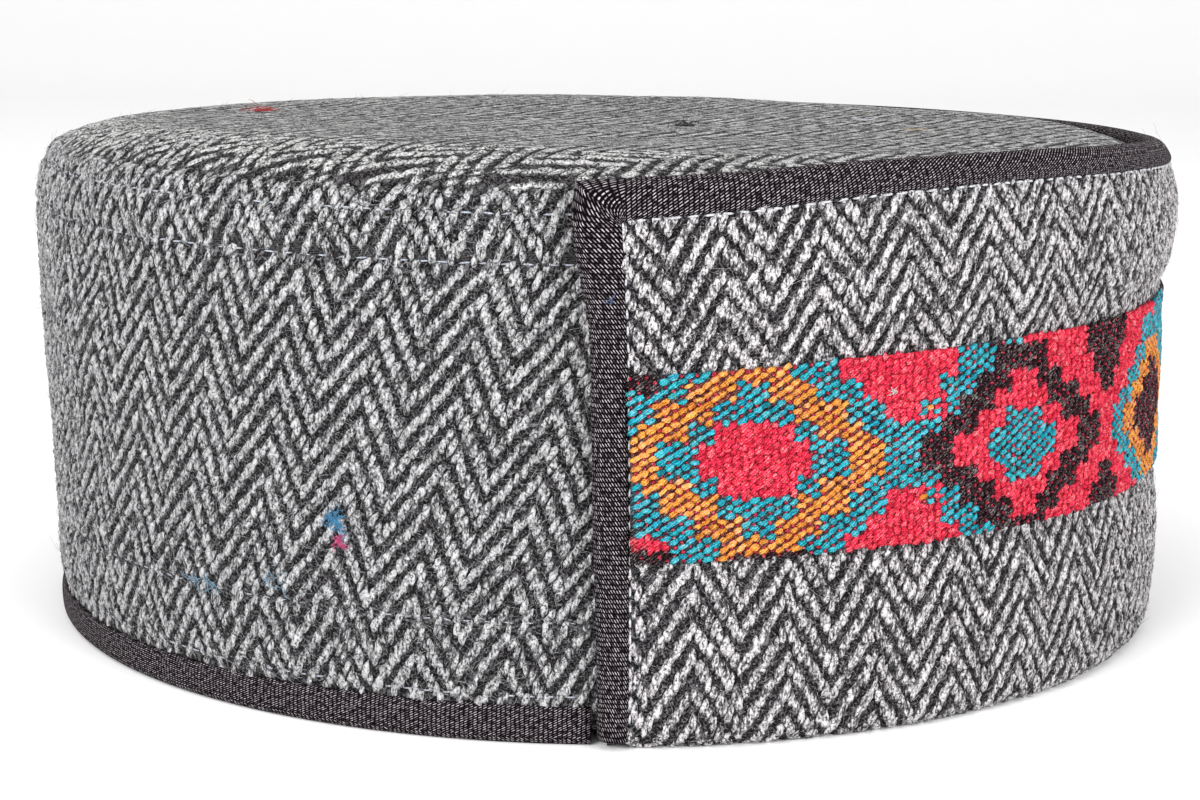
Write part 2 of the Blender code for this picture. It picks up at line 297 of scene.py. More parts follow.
@dataclass(frozen=True)
class Pod:
    """A short rounded thread end to end, as rings of corners with a point at each end.

    The ring at a share t of the half length, from -1 to 1, has the radius (1 - t^2)^fullness, and
    its middle line stands bow * (1 - t^2) out of the surface.

    Attributes:
        rings: How many rings it has.
        sides: How many corners a ring has.
        fullness: The power that shapes its ends.
        shaded_end_tone: How much of its tone is left at its ends, from 0 to 1: painted shade where the thread
            dives into the cloth.
    """

    rings: int = 3
    sides: int = 4
    fullness: float = 0.45
    shaded_end_tone: float = 0.35

    def many(
        self,
        places: LocalFrames,
        half_length: Array,
        half_width: Array,
        height: Array | float,
        bow: Array | float,
        tone: Array,
    ) -> MeshDraft:
        """One mesh of many pods.

        Args:
            places: Where each pod is, with its length on the along direction.
            half_length: Half of each pod's length.
            half_width: Half of its width.
            height: Half of its thickness.
            bow: How far its middle stands out of the surface.
            tone: A number from 0 to 1 for each pod, kept on its vertices.

        Returns:
            The draft, with the value tone.
        """
        count = len(places.origin)
        shares = np.linspace(-1.0, 1.0, self.rings + 2)[1:-1] * 0.92
        turns = 2.0 * math.pi * (np.arange(self.sides) + 0.5) / self.sides
        share = np.repeat(shares, self.sides)
        turn = np.tile(turns, self.rings)
        radius = (1.0 - share**2) ** self.fullness
        across = np.concatenate((radius * np.cos(turn) * 1.2, (0.0, 0.0)))
        lift = np.concatenate((radius * np.sin(turn) * 1.2, (0.0, 0.0)))
        share = np.concatenate((share, (-1.0, 1.0)))
        sizes = [np.broadcast_to(size, (count,))[:, None] for size in (half_length, half_width, height, bow)]
        along = share[None, :] * sizes[0]
        side = across[None, :] * sizes[1]
        rise = lift[None, :] * sizes[2] + (1.0 - share[None, :] ** 2) * sizes[3]
        points = (
            places.origin[:, None, :]
            + places.across[:, None, :] * side[..., None]
            + places.along[:, None, :] * along[..., None]
            + places.out[:, None, :] * rise[..., None]
        )
        # Painted shade: the tone falls towards each end, where the thread dives into the cloth.
        bright = self.shaded_end_tone + (1.0 - self.shaded_end_tone) * (1.0 - share**2)
        tones = np.broadcast_to(tone, (count,))[:, None] * bright[None, :]
        quads, fans = self._faces()
        step = (np.arange(count) * len(share))[:, None, None]
        blocks = [(quads[None] + step).reshape(-1, 4), (fans[None] + step).reshape(-1, 3)]
        return MeshDraft(points.reshape(-1, 3), blocks, None, {"tone": tones.ravel()})

    def _faces(self) -> tuple[Array, Array]:
        """The faces of one pod: quads between its rings and fans at its ends, all facing outwards."""
        corner = np.arange(self.sides)
        after = (corner + 1) % self.sides
        start = self.sides * np.arange(self.rings - 1)[:, None]
        ahead = start + self.sides
        quads = np.stack((start + after, start + corner, ahead + corner, ahead + after), -1)
        near, far = self.rings * self.sides, self.rings * self.sides + 1
        end = self.sides * (self.rings - 1)
        first = np.stack((corner, after, np.full(self.sides, near)), -1)
        final = np.stack((end + after, end + corner, np.full(self.sides, far)), -1)
        return quads.reshape(-1, 4), np.concatenate((first, final))


# Shaders


class Wire:
    """A number in a material. Sums written with it add the Math nodes that work them out."""

    def __init__(self, paint: "Paint", socket: bpy.types.NodeSocket) -> None:
        """Wraps a socket of a paint's node tree."""
        self.paint = paint
        self.socket = socket

    def _math(self, operation: str, *terms: "Wire | float") -> "Wire":
        """A Math node on the given terms."""
        node = self.paint.node("ShaderNodeMath", {"operation": operation}, dict(enumerate(terms)))
        return Wire(self.paint, node.outputs[0])

    def __add__(self, other: "Wire | float") -> "Wire":
        """The sum."""
        return self._math("ADD", self, other)

    __radd__ = __add__

    def __sub__(self, other: "Wire | float") -> "Wire":
        """The difference."""
        return self._math("SUBTRACT", self, other)

    def __rsub__(self, other: float) -> "Wire":
        """The difference from a plain number."""
        return self._math("SUBTRACT", other, self)

    def __mul__(self, other: "Wire | float") -> "Wire":
        """The product."""
        return self._math("MULTIPLY", self, other)

    __rmul__ = __mul__

    def __truediv__(self, other: "Wire | float") -> "Wire":
        """The quotient."""
        return self._math("DIVIDE", self, other)

    def __pow__(self, other: float) -> "Wire":
        """The power."""
        return self._math("POWER", self, other)

    def floor(self) -> "Wire":
        """The whole number below."""
        return self._math("FLOOR", self)

    def fraction(self) -> "Wire":
        """What is left above the whole number below."""
        return self._math("FRACT", self)

    def size(self) -> "Wire":
        """The number without its sign."""
        return self._math("ABSOLUTE", self)

    def greatest(self, other: "Wire | float") -> "Wire":
        """The greater of two numbers."""
        return self._math("MAXIMUM", self, other)

    def zigzag(self, height: float) -> "Wire":
        """A wave of straight lines between 0 and a height."""
        return self._math("PINGPONG", self, height)

    def rising(self, low: float, high: float) -> "Wire":
        """0 at low and below, 1 at high and above, with a smooth rise."""
        sockets = {"Value": self, "From Min": low, "From Max": high}
        node = self.paint.node("ShaderNodeMapRange", {"interpolation_type": "SMOOTHSTEP"}, sockets)
        return Wire(self.paint, node.outputs[0])


class Paint:
    """A material under construction, with one Principled shader."""

    def __init__(self, name: str) -> None:
        """Starts an empty material."""
        self.material = bpy.data.materials.new(name)
        self.material.use_nodes = True
        self.tree = self.material.node_tree
        self.tree.nodes.clear()
        self.output = self.node("ShaderNodeOutputMaterial")

    def node(self, kind: str, settings: dict | None = None, sockets: dict | None = None) -> bpy.types.Node:
        """Adds a node.

        Args:
            kind: Its type.
            settings: Its own settings, and ramp for a colour ramp's stops.
            sockets: Values, wires or sockets for its inputs, by name or index.

        Returns:
            The new node.
        """
        node = self.tree.nodes.new(kind)
        for key, setting in (settings or {}).items():
            if key == "ramp":
                self._set_ramp(node.color_ramp, setting)
            else:
                setattr(node, key, setting)
        for key, value in (sockets or {}).items():
            target = node.inputs[key]
            if isinstance(value, Wire):
                value = value.socket
            if isinstance(value, bpy.types.NodeSocket):
                self.tree.links.new(value, target)
            elif isinstance(value, tuple) and len(value) == 3 and target.type == "RGBA":
                target.default_value = (*value, 1.0)
            else:
                target.default_value = value
        return node

    def _set_ramp(self, ramp: bpy.types.ColorRamp, stops: Sequence[tuple[float, Colour]]) -> None:
        """Gives a colour ramp its stops."""
        while len(ramp.elements) > 1:
            ramp.elements.remove(ramp.elements[-1])
        ramp.elements[0].position = stops[0][0]
        ramp.elements[0].color = (*stops[0][1], 1.0)
        for position, colour in stops[1:]:
            ramp.elements.new(position).color = (*colour, 1.0)

    def weave(self) -> tuple[Wire, Wire]:
        """The piece's own two weave lengths, in millimetres."""
        uv = self.node("ShaderNodeUVMap", {"uv_map": "weave"})
        split = self.node("ShaderNodeSeparateXYZ", None, {0: uv.outputs[0]})
        return Wire(self, split.outputs[0]), Wire(self, split.outputs[1])

    def value(self, name: str) -> Wire:
        """A number kept on the piece's vertices."""
        node = self.node("ShaderNodeAttribute", {"attribute_name": name})
        return Wire(self, node.outputs["Fac"])

    def colour(self, name: str) -> bpy.types.NodeSocket:
        """A colour kept on the piece's vertices."""
        return self.node("ShaderNodeAttribute", {"attribute_name": name}).outputs["Color"]

    def noise(self, size: float, detail: float = 2.0, stretch: Colour = (1.0, 1.0, 1.0)) -> Wire:
        """Noise in space, with spots about as large as a size in millimetres.

        Args:
            size: The spots' size.
            detail: How many finer layers are added.
            stretch: How much closer the spots lie in each direction.

        Returns:
            Numbers about 0.5.
        """
        place = self.node("ShaderNodeTexCoord").outputs["Object"]
        if stretch != (1.0, 1.0, 1.0):
            place = self.node("ShaderNodeMapping", None, {"Vector": place, "Scale": stretch}).outputs[0]
        sockets = {"Vector": place, "Scale": 1.0 / (size * MM), "Detail": detail}
        return Wire(self, self.node("ShaderNodeTexNoise", None, sockets).outputs[0])

    def flat_noise(self, first: Wire, second: Wire, detail: float = 1.0) -> Wire:
        """Noise over two weave numbers, with spots one unit in size."""
        place = self.node("ShaderNodeCombineXYZ", None, {0: first, 1: second})
        sockets = {"Vector": place.outputs[0], "Scale": 1.0, "Detail": detail}
        return Wire(self, self.node("ShaderNodeTexNoise", None, sockets).outputs[0])

    def wisps(self, size: float, width: float = 0.035) -> Wire:
        """Short curling lines like loose fibres, where one noise crosses a half and another is high."""
        away = (self.noise(size, 0.0) - 0.5).size() / width
        return (1.0 - away.rising(0.0, 1.0)) * self.noise(size * 0.8, 0.0).rising(0.40, 0.55)

    def mix(self, share: Wire | float, low: object, high: object, blend: str = "MIX") -> bpy.types.NodeSocket:
        """A mix of two colours by a share."""
        settings = {"data_type": "RGBA", "blend_type": blend}
        node = self.node("ShaderNodeMix", settings, {0: share, 6: low, 7: high})
        return node.outputs[2]

    def ramp(self, share: Wire, stops: Sequence[tuple[float, Colour]]) -> bpy.types.NodeSocket:
        """A colour read from a ramp."""
        return self.node("ShaderNodeValToRGB", {"ramp": stops}, {0: share}).outputs[0]

    def finish(
        self,
        colour: object,
        roughness: Wire | float,
        relief: Wire | None = None,
        depth: float = 0.1,
        sheen: float = 0.0,
        gloss: float = 0.15,
    ) -> bpy.types.Material:
        """Joins everything to the shader.

        Args:
            colour: The base colour.
            roughness: The roughness.
            relief: The height of the fine relief, from 0 to 1.
            depth: What a relief of 1 is in millimetres.
            sheen: How much fibre sheen there is.
            gloss: How strong the plain reflection is.

        Returns:
            The finished material.
        """
        sockets = {
            "Base Color": colour,
            "Roughness": roughness,
            "Sheen Weight": sheen,
            "Sheen Roughness": 0.5,
            "Specular IOR Level": gloss,
        }
        if relief is not None:
            heights = {"Height": relief, "Distance": depth * MM, "Strength": 1.0}
            sockets["Normal"] = self.node("ShaderNodeBump", None, heights).outputs[0]
        shader = self.node("ShaderNodeBsdfPrincipled", None, sockets)
        self.tree.links.new(shader.outputs[0], self.output.inputs[0])
        return self.material


# How many ends of the tweed's herringbone run one way before the weave turns back
ENDS = 9


@dataclass(frozen=True)
class TweedGround:
    """The tweed under its light floats: dark weft, and the painted weave where there are no floats."""

    name: str
    dark: Colour = (0.0035, 0.003, 0.0035)
    grey: Colour = (0.050, 0.047, 0.050)
    light: Colour = (0.30, 0.29, 0.30)

    def make(self) -> bpy.types.Material:
        """Builds the material.

        Light ends go over two dark picks and under two. The weave's first length is in ends and its
        second in picks, and an end shows where the fraction of (picks + the zigzag of whole ends) / 4
        is under a half.
        """
        paint = Paint(self.name)
        ends, picks = paint.weave()
        wobble = (paint.noise(3.0) - 0.5) * 0.5
        place = ends + wobble
        across = place.fraction() - 0.5
        turn = place.floor().zigzag(float(ENDS))
        length = ((picks + turn + wobble) / 4.0).fraction()
        on_top = (1.0 - ((length - 0.25) / 0.27).size() ** 4.0).greatest(0.0)
        thread = (1.0 - (across * 2.0).size() ** 3.0) * on_top
        strands = paint.noise(0.32, 3.0)
        weft_row = 1.0 - (picks.fraction() * 2.0 - 1.0).size() ** 2.0
        stops = ((0.53, self.dark), (0.68, self.grey), (0.84, self.light))
        wisps = paint.wisps(1.2).greatest(paint.wisps(0.75, 0.045))
        ground = paint.mix(wisps * 0.55, paint.ramp(strands + weft_row * 0.08, stops), self.light)
        bare = paint.value("bare")
        light = paint.mix(paint.noise(0.4, 3.0).rising(0.35, 0.65), (0.12, 0.115, 0.12), self.light)
        colour = paint.mix(thread * bare, ground, light)
        relief = weft_row * 0.3 + thread * bare + strands * 0.8 + wisps * 0.4
        return paint.finish(colour, 0.95, relief, 0.3)


@dataclass(frozen=True)
class FloatWool:
    """The light woollen floats: each has its own tone, with painted shade towards its ends, where it dives
    under the weft.
    """

    name: str
    deep: Colour = (0.025, 0.023, 0.025)
    middle: Colour = (0.19, 0.18, 0.187)
    bright: Colour = (0.68, 0.655, 0.67)

    def make(self) -> bpy.types.Material:
        """Builds the material from the value tone and fine fibre noise, with dark wisps as painted shadow
        between the fibres.
        """
        paint = Paint(self.name)
        fibres = paint.noise(0.36, 3.0, (1.0, 1.0, 0.5))
        patches = paint.noise(0.9, 2.0)
        pale, dark = paint.wisps(0.9, 0.05), paint.wisps(0.6, 0.06)
        # Painted shadow: the dark wisps darken the floats between their fibres.
        tone = paint.value("tone") + (fibres - 0.5) * 3.0 + (patches - 0.5) * 0.9 + pale * 0.35 - dark * 0.50
        colour = paint.ramp(tone, ((0.08, self.deep), (0.45, self.middle), (0.85, self.bright)))
        return paint.finish(colour, 0.9, fibres + pale * 0.3 - dark * 0.5, 0.45, 0.05)


@dataclass(frozen=True)
class TapeTwill:
    """Black cotton tape with a fine slanted weave whose dashes catch the light, painted into its colour as a
    highlight.
    """

    name: str
    black: Colour = (0.002, 0.0012, 0.0018)
    charcoal: Colour = (0.020, 0.013, 0.017)
    pale: Colour = (0.10, 0.084, 0.092)
    glint: Colour = (0.50, 0.45, 0.48)
    band: float = 0.69
    thread: float = 0.35
    lean: float = 1.0

    def make(self) -> bpy.types.Material:
        """Builds the material: in each band along the tape lies a row of slanted dashes, a thread apart."""
        paint = Paint(self.name)
        along, across = paint.weave()
        wobble = (paint.noise(1.4) - 0.5) * 0.6
        columns, rows = along / self.band + wobble, across / self.thread + wobble
        inside = columns.fraction() - 0.5
        slant = (rows - inside * self.lean).fraction() - 0.5
        dash = (1.0 - (slant * 3.6).size() ** 2.0).greatest(0.0)
        yarn = dash * (1.0 - (inside * 2.05).size() ** 4.0).greatest(0.0)
        cell = paint.flat_noise(columns * 0.8, rows * 0.8, 0.0)
        # Painted highlight: lit and the glint stop put the light that the dashes catch into the base colour.
        lit = yarn * (cell * 1.5 + 0.15)
        stops = ((0.22, self.black), (0.45, self.charcoal), (0.66, self.pale), (1.0, self.glint))
        return paint.finish(paint.ramp(lit, stops), 0.85, yarn, 0.10, gloss=0.04)


@dataclass(frozen=True)
class DyedWool:
    """The border's pattern yarns, coloured by the chart, with lighter and darker fibres, painted shade and a
    painted highlight.
    """

    name: str

    def make(self) -> bpy.types.Material:
        """Builds the material from the colour yarn and the value tone: a low tone gives a darker copy of the
        yarn as painted shade, and a high tone a painted near-white highlight.
        """
        paint = Paint(self.name)
        fibres = paint.noise(0.28, 3.0)
        patches = paint.noise(1.2, 2.0)
        pale, dark = paint.wisps(0.7, 0.05), paint.wisps(0.5, 0.06)
        # Painted shade: the ply lines darken the grooves between the plies.
        turns = paint.value("ply") + (paint.noise(0.8) - 0.5) * 1.6
        strand = 1.0 - ((turns.fraction() - 0.5) * 2.0).size()
        tone = paint.value("tone") + (fibres - 0.5) * 1.6 + (patches - 0.5) * 0.5 + (strand - 0.38) * 0.65
        # Painted shadow: the dark wisps darken the yarn between its fibres.
        tone = tone + pale * 0.30 - dark * 0.35
        shadow = paint.mix(1.0, paint.colour("yarn"), (0.48, 0.38, 0.45), "MULTIPLY")
        base = paint.mix(tone.rising(0.1, 0.7), shadow, paint.colour("yarn"))
        # Painted highlight: near-white is mixed in where the tone is high.
        colour = paint.mix((tone - 0.72).greatest(0.0) * 0.45, base, (1.0, 0.97, 0.93))
        return paint.finish(colour, 0.9, fibres + strand * 0.8 - dark * 0.3, 0.28)


@dataclass(frozen=True)
class PlainWool:
    """One colour of wool or thread with fine fibre noise."""

    name: str
    colour: Colour
    shade: float = 0.45

    def make(self) -> bpy.types.Material:
        """Builds the material."""
        paint = Paint(self.name)
        fibres = paint.noise(0.2, 2.0)
        dark = tuple(part * self.shade for part in self.colour)
        return paint.finish(paint.mix(fibres.rising(0.3, 0.7), dark, self.colour), 0.85, fibres, 0.1, 0.2)


# The cap's form


@dataclass(frozen=True)
class CapForm:
    """The cap's own measured lines: its solids' lines, and a fuller crown than the solid one.

    The columns of its tables, in millimetres and degrees:
        wall_rows: Height, and how far out the wall's line is.
        flap_rows: Height, and how far out the flap is at the cap's sides and at its front.
        top_tape_rows: Bearing, height and outward of the sewn edge, height and outward of the folded edge.
        crown_rows: Share of the seam's radius, and height.
        crown_puff: Share of the seam's radius, and height above the crown's line on the near side.
        end_tape_rows: Height, and how far the folded and the sewn edge lie from the cap's side.
        border_rows: Length from the cap's side, and height of the lower and the upper edge.
    """

    half_width: float = 91.5
    to_front: float = 92.0
    to_back: float = 93.7
    shift: float = 0.95
    flap_radius: float = 95.0
    wall_cloth: float = 2.4
    crown_cloth: float = 2.2
    flap_cloth: float = 1.5
    border_cloth: float = 0.8
    tape: float = 0.5
    gap: float = 0.3
    fold_radius: float = 3.0
    crown_seam: float = -3.9
    wall_rows: tuple = (
        (2.1, -2.25),
        (6.0, -2.25),
        (7.4, -1.50),
        (17.0, -1.40),
        (35.0, -0.95),
        (43.5, -0.40),
        (52.0, 0.00),
        (62.0, 0.15),
        (68.5, 0.20),
        (72.5, -0.25),
        (74.8, -1.00),
        (76.5, -1.90),
        (77.4, -2.80),
        (77.85, -3.80),
    )
    flap_rows: tuple = (
        (3.0, 0.60, 2.50),
        (10.0, 0.80, 3.00),
        (18.0, 0.90, 2.90),
        (23.0, 0.90, 2.20),
        (29.0, 0.90, 1.40),
        (36.0, 1.10, 1.10),
        (45.0, 1.60, 1.40),
        (53.0, 2.00, 0.90),
        (57.0, 2.60, 1.60),
        (61.0, 3.10, 3.10),
        (67.0, 3.50, 3.80),
        (71.5, 3.65, 3.60),
    )
    top_tape_rows: tuple = (
        (0.0, 74.7, 4.50, 80.1, 2.80),
        (12.0, 76.2, 4.55, 81.1, 2.65),
        (22.0, 77.8, 4.50, 82.2, 2.40),
        (33.0, 78.6, 4.40, 82.5, 2.10),
        (45.0, 78.5, 4.20, 82.3, 1.90),
        (60.0, 77.7, 3.70, 81.4, 1.60),
        (75.0, 76.6, 3.00, 80.2, 1.25),
        (90.0, 75.8, 2.60, 79.2, 1.05),
        (105.0, 75.2, 2.80, 78.8, 1.20),
        (120.0, 74.6, 3.20, 78.4, 1.50),
        (150.0, 73.7, 4.00, 78.1, 2.30),
        (180.0, 73.4, 4.50, 78.1, 2.80),
    )
    crown_rows: tuple = (
        (0.000, 80.30),
        (0.450, 80.30),
        (0.700, 80.10),
        (0.850, 79.55),
        (0.930, 79.00),
        (0.980, 78.40),
        (1.000, 77.95),
    )
    crown_puff: tuple = (
        (0.000, 0.20),
        (0.500, 1.20),
        (0.700, 2.20),
        (0.800, 2.80),
        (0.860, 2.95),
        (0.900, 2.85),
        (0.930, 2.50),
        (0.955, 2.05),
        (0.975, 1.40),
        (0.990, 0.70),
        (1.000, 0.00),
    )
    end_tape_rows: tuple = (
        (0.0, 0.1, 4.6),
        (9.0, 0.1, 4.6),
        (34.0, -0.8, 4.3),
        (56.0, -1.2, 3.8),
        (62.0, -1.6, 3.5),
        (70.0, -3.3, 3.1),
        (74.0, -3.9, 2.8),
    )
    border_rows: tuple = (
        (0.0, 27.1, 53.6),
        (18.0, 27.6, 54.2),
        (36.0, 27.9, 55.2),
        (60.0, 27.9, 55.8),
        (150.0, 27.5, 55.8),
    )

    @property
    def half_round(self) -> float:
        """The flap's length from one side of the cap to the other."""
        return math.pi * self.flap_radius

    def place(self, bearing: Array, height: Array, outward: Array) -> Array:
        """Points at a bearing, a height and a distance out from the wall's widest line."""
        angle = np.radians(bearing)
        reach = np.where(np.sin(angle) > 0.0, self.to_front, self.to_back)
        across = -(self.half_width + outward) * np.cos(angle)
        depth = self.shift - (reach + outward) * np.sin(angle)
        return np.stack(np.broadcast_arrays(across, depth, height), axis=-1)

    def top_line(self, bearing: Array, index: int) -> Array:
        """One of the top tape's lengths at a bearing, from its column in the table."""
        return eased(bearing, column(self.top_tape_rows, 0), column(self.top_tape_rows, index), 5.0)

    def _flap_line(self, bearing: Array, height: Array) -> Array:
        """The flap's outward distance by its tables.

        Up to 71.5 it is the side column plus the front column's difference times the squared sine
        of the bearing. Above, straight lines lead to the top tape's sewn and folded edges.
        """
        heights = column(self.flap_rows, 0)
        to_front = np.sin(np.radians(bearing)) ** 2
        sides = np.interp(height, heights, column(self.flap_rows, 1))
        front = np.interp(height, heights, column(self.flap_rows, 2))
        body = sides + (front - sides) * to_front
        build = self.gap + self.tape
        sewn, folded = self.top_line(bearing, 1), self.top_line(bearing, 3)
        to_sewn = self.top_line(bearing, 2) - build - body
        to_folded = self.top_line(bearing, 4) - self.top_line(bearing, 2)
        first = np.clip((height - heights[-1]) / (sewn - heights[-1]), 0.0, 1.0)
        second = np.clip((height - sewn) / (folded - sewn), 0.0, 1.6)
        return body + to_sewn * first + to_folded * second

    def flap_outward(self, bearing: Array, height: Array) -> Array:
        """The flap's outward distance with its corners rounded over 1.6 mm and a slow ripple."""
        weights = np.array((1.0, 4.0, 6.0, 4.0, 1.0)) / 16.0
        total = sum(
            weight * self._flap_line(bearing, height + offset)
            for weight, offset in zip(weights, np.linspace(-1.6, 1.6, 5))
        )
        length = np.radians(bearing) * self.flap_radius
        return total + ripple(length, height, 0.12, 11)

    def flap_at(self, length: Array, height: Array, lift: Array | float = 0.0) -> Array:
        """Points on the flap's outer face, lifted out of it by a distance square to the cloth.

        Below the fold's radius the line runs round the bottom fold, 3 mm in radius, and then
        inwards under the rim.
        """
        bearing = np.degrees(length / self.flap_radius)
        above = np.maximum(height, self.fold_radius)
        outward = self.flap_outward(bearing, above)
        rise = self.flap_outward(bearing, above + 1.0) - self.flap_outward(bearing, above - 1.0)
        lean = np.hypot(1.0, rise / 2.0)
        turn = np.clip((self.fold_radius - height) / self.fold_radius, 0.0, math.pi / 2.0)
        under = np.maximum(self.fold_radius * (1.0 - math.pi / 2.0) - height, 0.0)
        radius = self.fold_radius + lift
        folded_out = outward - self.fold_radius + radius * np.cos(turn) - under
        folded_height = self.fold_radius - radius * np.sin(turn)
        in_fold = height < self.fold_radius
        final_out = np.where(in_fold, folded_out, outward + lift * lean)
        return self.place(bearing, np.where(in_fold, folded_height, height), final_out)

    def end_edge(self, height: Array, index: int) -> Array:
        """The end tape's folded (1) or sewn (2) edge at a height, as a length from the cap's side."""
        return eased(height, column(self.end_tape_rows, 0), column(self.end_tape_rows, index), 3.0)

    def wall_behind(self, bearing: Array, height: Array) -> Array:
        """How far the wall is pressed in behind the flap."""
        from_right = np.where(bearing % 360.0 < 270.0, bearing % 360.0, bearing % 360.0 - 360.0)
        past_end = np.minimum(from_right, 180.0 - from_right)
        between = smooth_step(height, 6.0, 10.0) * (1.0 - smooth_step(height, 58.0, 70.0))
        return 0.8 * smooth_step(past_end, -8.0, -1.5) * between


CAP = CapForm()


# Cloth pieces


@dataclass(frozen=True)
class Panel:
    """A stretch of tweed whose herringbone columns lie one way.

    Attributes:
        low: Its lower edge.
        high: Its upper edge.
        first_turn: A length at which the weave turns back, at the lower edge.
        column: The width of one column, which is nine ends.
        pick: The height of one pick.
        slant: How far the ends move for each millimetre up.
        rise: How far the picks climb for each millimetre along.
        lean: How far the floats lean, in degrees.
        phase: The picks by which the weave starts higher.
    """

    low: float
    high: float
    first_turn: float
    column: float = 6.93
    pick: float = 1.17
    slant: float = 0.0
    rise: float = 0.0
    lean: float = 0.0
    phase: float = 0.0

    def weave(self, length: Array, height: Array) -> tuple[Array, Array]:
        """The end and the pick that a place is on, as numbers.

        The picks are counted up from the panel's lower edge less their own climb, and the ends along
        from the first turn less their own slant.
        """
        up = height - self.low - self.rise * (length - self.first_turn)
        along = length - self.first_turn - self.slant * up
        return along / self.column * ENDS, up / self.pick + self.phase

    def floats(self, start: float, stop: float) -> tuple[Array, Array]:
        """The middles of the light floats: one in four picks on each end, a pick lower on the next end.

        Args:
            start: The lowest length.
            stop: The highest length.

        Returns:
            The lengths and heights of the floats' middles.
        """
        pitch = self.column / ENDS
        spread = abs(self.slant) * (self.high - self.low) + pitch
        first = math.floor((start - spread - self.first_turn) / pitch)
        last = math.ceil((stop + spread - self.first_turn) / pitch)
        end = np.arange(first, last + 1)[:, None]
        turn = np.abs((end + ENDS) % (2 * ENDS) - ENDS)
        climb = abs(self.rise) * max(abs(stop - self.first_turn), abs(start - self.first_turn))
        repeats = math.ceil((self.high - self.low + 2.0 * climb) / (4.0 * self.pick)) + 6
        step = np.arange(repeats)[None, :] - math.ceil(climb / (4.0 * self.pick)) - 3
        up = (4.0 * step + 1.0 + (-turn) % 4.0 - self.phase) * self.pick
        length = self.first_turn + (end + 0.5) * pitch + self.slant * up
        height = self.low + up + self.rise * (length - self.first_turn)
        keep = (height > self.low) & (height < self.high) & (length > start) & (length < stop)
        return length[keep], height[keep]


def floats_on(panels: Sequence[Panel], start: float, stop: float) -> tuple[Array, ...]:
    """The floats' middles on several panels, as lengths and heights, and their leans."""
    parts = [panel.floats(start, stop) for panel in panels]
    leans = [np.full(len(part[0]), panel.lean) for part, panel in zip(parts, panels)]
    return tuple(np.concatenate(rows) for rows in (*zip(*parts), leans))


WHOLE_ROUND = 2.0 * CAP.half_round
FLOAT_POD = Pod(rings=3, sides=4, fullness=0.42, shaded_end_tone=0.78)
CROWN_POD = Pod(rings=2, sides=4, fullness=0.42, shaded_end_tone=0.8)

# How much of the painted weave shows between the floats, where 1 is a cloth without floats
PAINTED = 0.6
CROWN_PAINTED = 0.45


@dataclass(frozen=True)
class Floats:
    """The light floats of one cloth: woolly tufts, each with its own size, lean and tone.

    Attributes:
        seed: Which draw is used.
        brightness: Their mean tone.
        pod: The shape of one.
    """

    seed: int
    brightness: float
    pod: Pod = FLOAT_POD

    def mesh(
        self, surface: Surface, length: Array, height: Array, lean: Array | float, relief: Array | float = 1.0
    ) -> MeshDraft:
        """Lays the floats and moves each of their vertices a little, at random.

        Args:
            surface: The cloth that they lie on.
            length: Their first lengths.
            height: Their second lengths.
            lean: Their lean in degrees.
            relief: How thick they are, as a share of a full tuft.

        Returns:
            The draft of all of them.
        """
        draw = np.random.default_rng(self.seed)
        count = len(length)
        length = length + draw.normal(0.0, 0.10, count)
        height = height + draw.normal(0.0, 0.15, count)
        places = frames_on(surface, length, height).turned(lean + draw.normal(0.0, 8.0, count))
        half_length = draw.normal(1.53, 0.18, count).clip(0.9, 2.2)
        half_width = draw.normal(0.56, 0.07, count).clip(0.35, 0.80)
        tone = draw.normal(self.brightness, 0.12, count).clip(0.2, 1.2)
        bow = draw.uniform(0.08, 0.24, count) * relief
        draft = self.pod.many(places, half_length, half_width, 0.27 * relief, bow, tone)
        loose = draw.normal(0.0, 0.095, draft.points.shape)
        loose[:, 2] *= np.repeat(np.broadcast_to(relief, (count,)), len(draft.points) // count)
        draft.points += loose
        return draft


